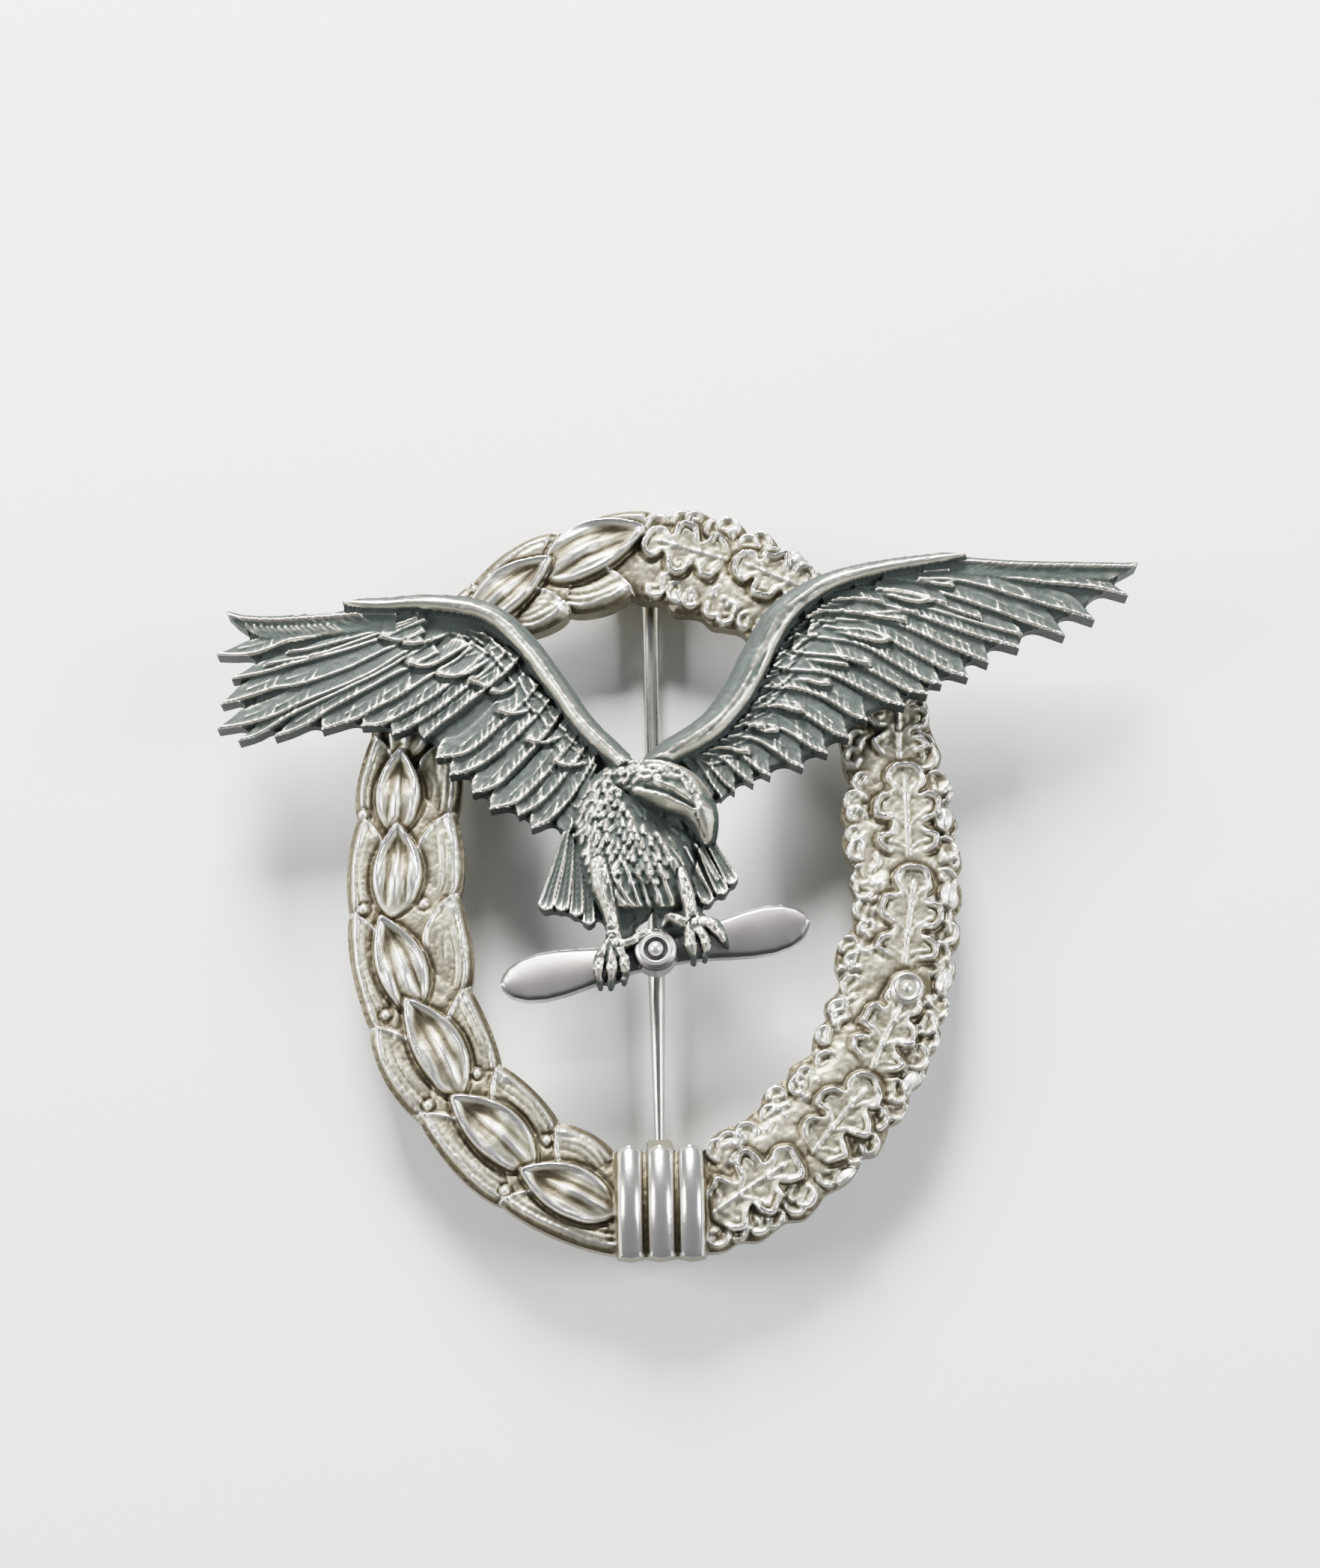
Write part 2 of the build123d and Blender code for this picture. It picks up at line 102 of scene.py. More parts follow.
class Field:
    """A struck relief: height H over the plan, and M, positive inside the outline."""

    def __init__(self, x0, y0, x1, y1, step, base):
        self.step = step
        self.x = np.arange(x0, x1 + step, step)
        self.y = np.arange(y0, y1 + step, step)
        self.X, self.Y = np.meshgrid(self.x, self.y)
        self.H = np.full(self.X.shape, base, float)
        self.M = np.full(self.X.shape, -9.0)
        self.P = np.zeros(self.X.shape)      # polish, with painted highlights and painted shade mixed in, 0 to 1

    def window(self, x0, y0, x1, y1):
        i0, i1 = np.searchsorted(self.x, [x0, x1])
        j0, j1 = np.searchsorted(self.y, [y0, y1])
        return slice(max(j0 - 1, 0), j1 + 1), slice(max(i0 - 1, 0), i1 + 1)

    def near(self, points, margin):
        p = np.array(points, float)
        return self.window(p[:, 0].min() - margin, p[:, 1].min() - margin,
                           p[:, 0].max() + margin, p[:, 1].max() + margin)

    def over(self, w, h, sd, aa=0.10, cut=True, polish_and_painted_light=None):
        a = smooth01(sd / aa + 0.5)
        self.H[w] = self.H[w] * (1 - a) + h * a
        self.P[w] = self.P[w] * (1 - a) + (0.0 if polish_and_painted_light is None else polish_and_painted_light) * a
        if cut:
            self.M[w] = np.maximum(self.M[w], sd)

    def top(self, w, h, sd, aa=0.10, cut=True, polish_and_painted_light=None):
        a = smooth01(sd / aa + 0.5)
        up = (h > self.H[w])
        self.H[w] = np.where(up, self.H[w] * (1 - a) + h * a, self.H[w])
        if polish_and_painted_light is not None:
            self.P[w] = np.where(up, self.P[w] * (1 - a) + polish_and_painted_light * a, self.P[w])
        if cut:
            self.M[w] = np.maximum(self.M[w], sd)


def along(X, Y, line):
    """Arc length s, signed side v (left of the direction is positive) and the overrun past the start."""
    P = np.array(line, float)
    best = np.full(X.shape, 1e9)
    S = np.zeros(X.shape)
    V = np.zeros(X.shape)
    s0 = 0.0
    n = len(P) - 1
    for i in range(n):
        ax, ay = P[i]
        dx, dy = P[i + 1] - P[i]
        L = math.hypot(dx, dy)
        if L < 1e-9:
            continue
        t = ((X - ax) * dx + (Y - ay) * dy) / (L * L)
        lo = -9.0 if i == 0 else 0.0
        hi = 9.0 if i == n - 1 else 1.0
        tc = np.clip(t, lo, hi)
        qx, qy = X - (ax + tc * dx), Y - (ay + tc * dy)
        tt = np.clip(t, 0, 1)
        d2 = (X - ax - tt * dx) ** 2 + (Y - ay - tt * dy) ** 2
        side = (dx * (Y - ay) - dy * (X - ax)) / L
        v = np.sign(side) * np.sqrt(qx * qx + qy * qy)
        m = d2 < best
        best = np.where(m, d2, best)
        S = np.where(m, s0 + tc * L, S)
        V = np.where(m, v, V)
        s0 += L
    return S, V, s0


def polygon_sd(X, Y, pts):
    """Signed distance to a closed polygon, positive inside."""
    P = np.array(pts, float)
    d2 = np.full(X.shape, 1e9)
    inside = np.zeros(X.shape, bool)
    n = len(P)
    for i in range(n):
        ax, ay = P[i]
        bx, by = P[(i + 1) % n]
        ex, ey = bx - ax, by - ay
        L2 = ex * ex + ey * ey
        if L2 < 1e-12:
            continue
        t = np.clip(((X - ax) * ex + (Y - ay) * ey) / L2, 0, 1)
        d2 = np.minimum(d2, (X - ax - t * ex) ** 2 + (Y - ay - t * ey) ** 2)
        cross = ((ay > Y) != (by > Y))
        with np.errstate(divide="ignore", invalid="ignore"):
            xi = ax + (Y - ay) * ex / (ey if abs(ey) > 1e-12 else 1e-12)
        inside ^= cross & (X < xi)
    d = np.sqrt(d2)
    return np.where(inside, d, -d)


# ------------------------------------------------------------------ relief to mesh
def build(field, name, back, round_edge=0.22, fine=0.40):
    """Mesh of a relief: smooth top, walls and a flat back, cut along M = 0."""
    X, Y, M, st = field.X, field.Y, field.M.copy(), field.step
    M[np.abs(M) < 0.06 * st] = 0.06 * st
    inside = M > 0
    H = field.H.copy()
    # next to the outline and a little way past it, the height is carried out from the inside
    known = M > 0.055
    for _ in range(4):
        acc = np.zeros_like(H)
        cnt = np.zeros_like(H)
        for dj, di in ((0, 1), (0, -1), (1, 0), (-1, 0)):
            k = np.roll(np.roll(known, dj, 0), di, 1)
            acc += np.where(k, np.roll(np.roll(H, dj, 0), di, 1), 0)
            cnt += k
        new = (~known) & (cnt > 0)
        H = np.where(new, acc / np.maximum(cnt, 1), H)
        known |= new
    r = round_edge
    t = np.clip(M / r, 0, 1)
    H = H - r * 0.5 * (1 - t) ** 2
    filled = np.where(inside, H, H[inside].mean())
    weight = blur(inside.astype(float), fine, st)
    local = blur(np.where(inside, H, 0), fine, st) / np.maximum(weight, 1e-3)
    weight2 = blur(inside.astype(float), 1.1, st)
    local2 = blur(np.where(inside, H, 0), 1.1, st) / np.maximum(weight2, 1e-3)
    wear = (H - local) * 1.0
    cav_and_wall_shade = (H - local2) * 1.0
    # next to the outline the tones are evened out, so the rim isn't beaded
    soft = blur(inside.astype(float), 0.13, st)
    near_rim = 1 - smooth01(M / 0.22)
    even = lambda a: a * (1 - near_rim) + near_rim * blur(np.where(inside, a, 0), 0.13, st) / np.maximum(soft, 1e-3)
    wear, cav_and_wall_shade, tone = even(wear), even(cav_and_wall_shade), even(field.P)

    ny, nx = X.shape
    index = -np.ones((ny, nx), int)
    index[inside] = np.arange(inside.sum())
    co = [np.column_stack([X[inside], Y[inside], H[inside]])]
    at = {"wear": [wear[inside]], "cav_and_wall_shade": [cav_and_wall_shade[inside]], "polish_and_painted_light": [tone[inside]]}
    n0 = int(inside.sum())
    full = inside[:-1, :-1] & inside[1:, :-1] & inside[:-1, 1:] & inside[1:, 1:]
    jj, ii = np.nonzero(full)
    faces = [np.column_stack([index[jj, ii], index[jj, ii + 1], index[jj + 1, ii + 1], index[jj + 1, ii]])]

    extra_co, extra_at, key = [], [], {}

    def cross(j0, i0, j1, i1):
        k = (j0, i0, j1, i1) if (j0, i0) < (j1, i1) else (j1, i1, j0, i0)
        if k in key:
            return key[k]
        a, b = M[j0, i0], M[j1, i1]
        t = a / (a - b)
        p = [X[j0, i0] + t * (X[j1, i1] - X[j0, i0]), Y[j0, i0] + t * (Y[j1, i1] - Y[j0, i0]),
             H[j0, i0] + t * (H[j1, i1] - H[j0, i0])]
        jn, i_n = (j0, i0) if a > 0 else (j1, i1)
        extra_co.append(p)
        extra_at.append((wear[jn, i_n], cav_and_wall_shade[jn, i_n], tone[jn, i_n]))
        key[k] = n0 + len(extra_co) - 1
        return key[k]

    poly, edges = [], []
    anyin = inside[:-1, :-1] | inside[1:, :-1] | inside[:-1, 1:] | inside[1:, 1:]
    for j, i in zip(*np.nonzero(anyin & ~full)):
        c = [(j, i), (j, i + 1), (j + 1, i + 1), (j + 1, i)]
        s = [bool(inside[q]) for q in c]
        ins = sum(s)
        if ins == 2 and s[0] == s[2]:
            # two opposite corners: cut as two triangles
            for a in range(4):
                if s[a]:
                    e0 = cross(*c[a], *c[(a + 1) % 4])
                    e1 = cross(*c[a], *c[(a + 3) % 4])
                    poly.append([index[c[a]], e0, e1])
                    edges.append((e0, e1))
            continue
        ring = []
        for a in range(4):
            b = (a + 1) % 4
            if s[a]:
                ring.append(("g", index[c[a]]))
            if s[a] != s[b]:
                ring.append(("x", cross(*c[a], *c[b])))
        poly.append([v for _, v in ring])
        m = len(ring)
        for a in range(m):
            if ring[a][0] == "x" and ring[(a + 1) % m][0] == "x":
                edges.append((ring[a][1], ring[(a + 1) % m][1]))
    top_n = n0 + len(extra_co)
    co.append(np.array(extra_co).reshape(-1, 3))
    ea = np.array(extra_at).reshape(-1, 3)
    at["wear"].append(ea[:, 0])
    at["cav_and_wall_shade"].append(ea[:, 1])
    at["polish_and_painted_light"].append(ea[:, 2])
    # walls
    rim = sorted({v for e in edges for v in e})
    where = {v: k for k, v in enumerate(rim)}
    rc = np.array([extra_co[v - n0] for v in rim])
    mid = rc.copy()
    mid[:, 2] -= 0.10
    low = rc.copy()
    low[:, 2] = back
    co.append(mid)
    co.append(low)
    # the walls get a fixed low cavity value, which paints them dark: painted shade on the sides of the relief
    z = np.zeros(2 * len(rim))
    at["wear"].append(z - 0.03)
    at["cav_and_wall_shade"].append(z - 0.3)
    at["polish_and_painted_light"].append(z)
    mid_n, low_n = top_n, top_n + len(rim)
    walls = [[a, b, mid_n + where[b], mid_n + where[a]][::-1] for a, b in edges]
    walls += [[mid_n + where[a], mid_n + where[b], low_n + where[b], low_n + where[a]][::-1] for a, b in edges]
    co = np.vstack(co)
    me = bpy.data.meshes.new(name)
    all_faces = [list(map(int, f)) for f in faces[0]] + poly + walls
    me.from_pydata([tuple(p) for p in co], [], all_faces)
    for k, v in at.items():
        v = np.concatenate(v).astype(np.float32)
        a = me.attributes.new(k, "FLOAT", "POINT")
        a.data.foreach_set("value", v)
    n_top = len(faces[0]) + len(poly)
    # back
    bm = bmesh.new()
    bm.from_mesh(me)
    bm.verts.ensure_lookup_table()
    bm.faces.ensure_lookup_table()
    for f in bm.faces:
        f.smooth = True
    low_edges = [e for e in bm.edges if len(e.link_faces) == 1]
    for e in low_edges:
        e.smooth = False
    rimset = set(rim)
    for e in bm.edges:
        if e.verts[0].index in rimset and e.verts[1].index in rimset and len(e.link_faces) == 2:
            if (e.link_faces[0].index < n_top) != (e.link_faces[1].index < n_top):
                e.smooth = False
    got = bmesh.ops.triangle_fill(bm, use_beauty=True, use_dissolve=False, edges=low_edges)
    new = [g for g in got["geom"] if isinstance(g, bmesh.types.BMFace)]
    for f in new:
        f.smooth = False
        if f.normal.z > 0:
            f.normal_flip()
    open_edges = sum(1 for e in bm.edges if len(e.link_faces) != 2)
    bm.to_mesh(me)
    bm.free()
    me.transform(Matrix.Translation((OX * MM, OY * MM, 0)) @ Matrix.Scale(MM, 4))
    me.update()
    ob = bpy.data.objects.new(name, me)
    bpy.context.scene.collection.objects.link(ob)
    tris = sum(len(p.vertices) - 2 for p in me.polygons)
    print(name, "triangles", tris, "edges without two faces", open_edges)
    return ob


# ------------------------------------------------------------------ wreath
W = Field(-22.2, -27.4, 22.2, 27.6, 0.105, 4.6)


def ring_curve(points, closed=True):
    p = np.array(points, float)
    if not closed:
        return spline(p, 0.3)
    q = np.vstack([p, p[:3]])
    s = spline(q, 0.3)
    return s


# notches and bulges of the laurel's two edges, from the tie up to the top
LAUREL_IN = [(-3.0, -19.5), (-4.5, -18.15), (-6.6, -17.5), (-8.2, -15.3), (-10.5, -13.5), (-11.2, -11.0),
             (-12.6, -8.2), (-12.5, -5.0), (-13.4, -1.7), (-13.05, 1.1), (-13.6, 4.1), (-13.2, 6.8),
             (-13.5, 9.6), (-12.5, 12.2), (-12.2, 14.3), (-10.2, 15.7), (-9.0, 17.2), (-6.7, 17.9),
             (-5.7, 18.9), (-3.3, 19.0), (-1.3, 20.1)]
LAUREL_OUT = [(-3.0, -26.2), (-7.0, -25.0), (-10.5, -22.85), (-13.4, -20.8), (-16.1, -17.0), (-18.4, -14.3),
              (-19.35, -11.0), (-20.7, -6.6), (-20.85, -3.0), (-21.05, 0.6), (-20.35, 3.9), (-20.5, 6.3),
              (-19.5, 9.8), (-19.0, 12.6), (-17.3, 15.8), (-15.6, 18.3), (-12.6, 21.1), (-9.5, 23.9),
              (-6.4, 24.8), (-3.0, 26.25), (0.4, 26.2)]


def bulged(points, power=0.62):
    """Through notch, bulge, notch, bulge...: each lobe is a rounded arc."""
    p = np.array(points, float)
    out = []
    for k in range(0, len(p) - 2, 2):
        a, m, b = p[k], p[k + 1], p[k + 2]
        mid = (a + b) / 2
        for t in np.linspace(0, 1, 12, endpoint=False):
            w = math.sin(math.pi * t) ** power
            out.append(a + (b - a) * t + (m - mid) * w)
    out.append(p[-1])
    return np.array(out)


OAK_OUT = [(3.0, -26.2), (4.2, -26.05), (5.2, -25.5), (6.5, -25.45), (7.6, -24.7), (8.3, -24.2), (9.5, -24.05),
           (10.5, -23.1), (11.0, -22.4), (12.4, -21.7), (13.3, -20.6), (13.5, -20.0), (14.5, -19.8),
           (15.2, -18.6), (15.4, -17.9), (16.2, -17.5), (16.8, -16.2), (16.9, -15.6), (17.7, -15.0),
           (18.2, -13.8), (18.1, -13.3), (18.8, -12.7), (19.1, -11.6), (18.9, -11.1), (19.5, -10.6),
           (19.7, -9.3), (19.5, -8.9), (20.1, -8.2), (20.3, -7.0), (19.9, -6.4), (20.6, -5.6), (20.7, -4.3),
           (20.3, -3.7), (20.9, -2.9), (20.9, -1.5), (20.5, -1.0), (21.05, -0.2), (20.9, 1.1), (20.4, 1.6),
           (20.9, 2.4), (20.7, 3.6), (20.2, 4.2), (20.65, 5.1), (20.2, 6.4), (19.7, 6.9), (20.0, 7.9),
           (19.3, 10.0), (19.2, 11.6), (18.2, 13.2), (18.0, 14.4), (16.8, 16.0), (16.3, 17.2),
           (14.9, 18.6), (14.2, 19.7), (12.8, 20.9), (12.0, 21.7), (11.4, 21.8), (10.9, 22.8), (9.9, 23.3),
           (9.3, 23.3), (8.9, 24.2), (7.9, 24.7), (7.2, 24.5), (6.6, 25.3), (5.6, 25.8), (4.9, 25.5),
           (4.2, 26.1), (3.0, 26.5), (2.2, 26.4), (1.5, 26.1), (0.6, 26.05), (0.0, 26.1)]
OAK_IN = [(2.9, -19.5), (3.4, -18.6), (4.4, -17.9), (5.3, -17.6), (6.2, -17.0), (6.7, -16.6), (7.0, -15.7),
          (7.7, -15.2), (8.6, -14.6), (8.8, -13.9), (9.6, -13.4), (10.3, -12.9), (10.4, -12.1),
          (10.7, -11.2), (11.4, -10.6), (11.3, -9.6), (12.2, -8.7), (12.4, -7.9), (12.1, -6.9),
          (12.3, -5.7), (12.9, -4.9), (13.5, -3.9), (13.4, -2.8), (13.7, -2.2), (13.3, -1.0), (13.7, -0.2),
          (13.1, 1.0), (12.9, 2.0), (13.2, 2.8), (12.9, 3.9), (13.2, 5.1), (13.6, 6.1), (13.2, 7.3),
          (13.0, 9.2), (12.2, 11.2), (12.0, 12.4), (10.9, 13.8), (10.0, 14.9), (8.9, 15.6), (8.0, 15.9),
          (7.1, 16.4), (6.4, 17.3), (5.3, 17.6), (4.3, 17.8), (3.6, 18.5), (2.7, 18.7), (1.7, 18.8),
          (1.2, 19.4), (0.3, 19.7), (-0.4, 19.7)]
TIE_OUT = [(-3.05, -26.2), (-2.95, -26.45), (-2.0, -26.6), (-1.05, -26.4), (0.0, -26.6), (1.05, -26.4),
           (2.0, -26.6), (2.95, -26.45), (3.05, -26.2)]
TIE_IN = [(3.0, -19.5), (2.9, -19.35), (2.0, -19.15), (1.05, -19.4), (0.0, -19.15), (-1.05, -19.4), (-2.0, -19.15),
          (-2.9, -19.35), (-3.0, -19.5)]

outer = np.vstack([bulged(LAUREL_OUT, 0.75)[::-1], TIE_OUT, spline(OAK_OUT, 0.25)])
inner = np.vstack([bulged(LAUREL_IN, 0.7)[::-1], np.array(TIE_IN)[::-1], spline(OAK_IN, 0.25)])
sd_out = polygon_sd(W.X, W.Y, outer)
sd_in = -polygon_sd(W.X, W.Y, inner)
ring = np.minimum(sd_out, sd_in)
W.M = ring
# crowned band
u = sd_out / np.maximum(sd_out + sd_in, 1e-3)
crown = np.clip(4 * u * (1 - u), 0, 1)
W.H = 4.35 + 0.55 * crown ** 0.7 + 0.035 * noise2(W.X, W.Y, 0.5, 3) + 0.03 * noise2(W.X, W.Y, 0.22, 5)


def leaf_frame(X, Y, base, tip, bend):
    b, t = np.array(base, float), np.array(tip, float)
    d = t - b
    L = float(np.hypot(*d))
    ux, uy = d / L
    k = ((X - b[0]) * ux + (Y - b[1]) * uy) / L
    v = -(X - b[0]) * uy + (Y - b[1]) * ux
    v = v - bend * 4 * k * (1 - k)
    return k, v, L


def bell(x, c, r):
    return np.exp(-((x - c) / np.maximum(r, 1e-3)) ** 2)


def side_leaf(a, b, mid, wid, z0, z1, seed, highlight_patch):
    """A leaf lying along the wreath's edge: its outer side is the outline itself."""
    a, b = np.array(a, float), np.array(b, float)
    w = W.near([a, b, mid], wid + 1.0)
    X, Y = W.X[w], W.Y[w]
    rs = ring[w]
    d = b - a
    L = float(np.hypot(*d))
    t = d / L
    nrm = np.array([-t[1], t[0]])
    if nrm @ (np.array(mid) - (a + b) / 2) > 0:
        nrm = -nrm                                   # points to the middle of the band
    k = ((X - a[0]) * t[0] + (Y - a[1]) * t[1]) / L
    v = (X - a[0]) * nrm[0] + (Y - a[1]) * nrm[1]
    kk = np.clip(k, 0, 1)
    prof = np.sin(math.pi * np.clip((k + 0.03) / 1.06, 0, 1)) ** 0.62
    inn = (wid * prof - v) * 0.85
    sd = np.minimum(np.minimum(rs + 0.4, inn), np.minimum(k + 0.03, 1.03 - k) * L)
    h = z0 + (z1 - z0) * kk ** 1.3
    h += 0.16 * np.sin(math.pi * kk) * smooth01(rs / 1.0)
    h -= 0.20 * smooth01((0.44 - rs) / 0.26)
    wob = 0.05 * np.sin(kk * 9 + seed)
    h += 0.17 * bell(rs, 0.56 + wob, 0.13) * (0.7 + 0.3 * kk)
    h += 0.09 * bell(rs, 1.04 + wob, 0.13) * smooth01((0.92 - kk) / 0.2) + 0.07 * bell(rs, 1.50 + wob, 0.13) * smooth01((0.8 - kk) / 0.2)
    h += 0.17 * bell(inn, 0.18, 0.13) * smooth01((kk - 0.25) / 0.4)
    # a raised patch near the tip, with a painted highlight on it
    h += highlight_patch * bell(rs, 0.62 + 0.9 * (kk - 0.75), 0.17) * bell(kk, 0.84, 0.11)
    h += 0.07 * noise2(k * L * 0.35, rs * 2.0, 0.5, 30 + seed) + 0.035 * noise2(X, Y, 0.2, 60 + seed)
    pol_and_painted_light = 0.45 * bell(rs, 0.56 + wob, 0.12) + 0.5 * bell(inn, 0.18, 0.13) * smooth01((kk - 0.4) / 0.3) + 3.0 * highlight_patch * bell(rs, 0.62 + 0.9 * (kk - 0.75), 0.17) * bell(kk, 0.84, 0.11)
    W.over(w, h, sd, 0.12, cut=False, polish_and_painted_light=np.clip(pol_and_painted_light, 0, 1))


def laurel(base, tip, width, bend=0.0, z0=5.0, z1=5.65, rim=0.30, polish_and_painted_light=0.6, scoop=0.36, twist=0.0, seed=0):
    """Lanceolate leaf, its tip raised over the next leaf's foot."""
    w = W.near([base, tip], width * 0.8 + 0.8)
    X, Y = W.X[w], W.Y[w]
    k, v, L = leaf_frame(X, Y, base, tip, bend)
    kk = np.clip(k, 0, 1)
    prof = np.sin(math.pi * kk ** 0.86) ** 0.80
    half = 0.5 * width * prof
    sd = (half - np.abs(v)) * 0.85
    sd = np.where((k < 0) | (k > 1), -np.hypot(np.where(k < 0, k, k - 1) * L, v), sd)
    W.H[w] -= 0.16 * bell(sd, -0.20, 0.17)
    rel = v / np.maximum(half, 0.05)
    h = z0 + (z1 - z0) * smooth01(kk * 1.05)
    h += 0.40 * bell(kk, 0.36, 0.22) * (1 - rel ** 2)
    h -= scoop * bell(kk, 0.75, 0.19) * (1 - rel ** 2)
    # streaks run lengthwise over the swell of the foot
    g = np.cos(v / (width * 0.5) * math.pi * 2.6 * (1 + 0.35 * kk) + 0.7 * np.sin(seed)) + 0.5 * np.cos(v / (width * 0.5) * math.pi * 5.1 + seed)
    h += 0.085 * g * bell(kk, 0.36, 0.26)
    h += 0.09 * bell(v, 0.0, 0.13) * smooth01((kk - 0.05) / 0.2) * smooth01((0.95 - kk) / 0.3)
    fat = 0.12 + 0.07 * smooth01((kk - 0.45) / 0.4)
    rr = rim * (0.25 + 0.75 * smooth01((kk - 0.18) / 0.42)) * (1 + twist * np.sign(v))
    lip = np.exp(-((sd - 0.21) / fat) ** 2)
    h += rr * lip
    h += 0.03 * noise2(X, Y, 0.6, 20 + seed) + 0.045 * noise2(k * L * 0.45, v * 2.4, 0.5, 90 + seed)
    # the bright crests of the streaks are painted highlights; the dark between them and in the scoop under the tip is
    # painted shade
    streak_highlight = smooth01((g - 0.15) / 0.6) * bell(kk, 0.38, 0.24)
    dark = smooth01((-g - 0.1) / 0.7) * bell(kk, 0.42, 0.26) + 0.9 * bell(kk, 0.76, 0.13) * (1 - rel ** 2)
    pol_and_painted_light = 0.9 * polish_and_painted_light * streak_highlight + 0.9 * lip * smooth01((kk - 0.25) / 0.3) - 0.75 * np.clip(dark - lip, 0, 1)
    W.over(w, h, sd, 0.12, cut=False, polish_and_painted_light=np.clip(pol_and_painted_light, -1, 1))


def berry(x, y, r=0.36, z=4.90, polish_and_painted_light=0.1):
    w = W.window(x - 1, y - 1, x + 1, y + 1)
    d = np.hypot(W.X[w] - x, W.Y[w] - y)
    dome = z - 0.25 + 0.42 * np.sqrt(np.clip(1 - (d / r) ** 2, 0, 1))
    W.H[w] -= 0.14 * bell(d, r * 1.25, 0.14)
    W.over(w, dome, r - d, 0.10, cut=False, polish_and_painted_light=polish_and_painted_light)


side = []
for arr, kind in ((LAUREL_IN, "in"), (LAUREL_OUT, "out")):
    for k in range(len(arr) // 2):
        side.append((k, kind, arr[2 * k], arr[2 * k + 1], arr[2 * k + 2]))
for k, kind, a, m, b in sorted(side, key=lambda q: -q[0]):
    if kind == "in":
        side_leaf(a, b, m, 2.9, 4.62, 5.12, k, 0.16)
    else:
        side_leaf(a, b, m, 2.5, 4.58, 4.98, k + 9, 0.05)
for x, y in [(-10.3, -21.9), (-15.4, -16.1), (-18.3, -9.9), (-20.0, 4.2), (-19.9, -2.5), (-7.5, -18.6),
             (-12.2, -14.0), (-15.8, -2.2), (-12.3, 20.6), (-6.6, 24.2)]:
    berry(x, y)
CENTRE = [((-2.9, -23.7), (-9.3, -20.6), 3.5, -0.15), ((-8.3, -20.6), (-13.9, -15.6), 3.5, -0.25),
          ((-13.2, -15.7), (-17.0, -8.9), 3.4, -0.35), ((-16.2, -9.9), (-18.7, -3.1), 3.4, -0.15),
          ((-18.0, -3.2), (-17.6, 3.4), 3.4, -0.25), ((-17.8, 2.6), (-17.4, 8.8), 3.1, -0.05),
          ((-17.5, 7.8), (-15.9, 14.2), 3.2, -0.2), ((-16.0, 13.8), (-12.2, 18.6), 3.2, -0.2),
          ((-12.9, 17.9), (-6.9, 22.7), 3.1, 0.25), ((-7.7, 21.4), (-0.2, 24.9), 3.9, 0.45)]
for k, (b, t, wd, bend) in reversed(list(enumerate(CENTRE))):
    laurel(b, t, wd, bend=bend, rim=0.34, twist=-0.2 if k in (0, 1, 3) else 0.1, seed=k + 50)


OAK_SHAPE = [(0.0, 0.02), (0.16, 0.03), (0.55, 0.07), (0.86, 0.15), (0.90, 0.25), (0.66, 0.31), (0.44, 0.35), (0.50, 0.40),
             (0.85, 0.43), (1.0, 0.52), (0.93, 0.63), (0.68, 0.68), (0.42, 0.70), (0.42, 0.74), (0.60, 0.80), (0.58, 0.90),
             (0.36, 0.98), (0.0, 1.01)]


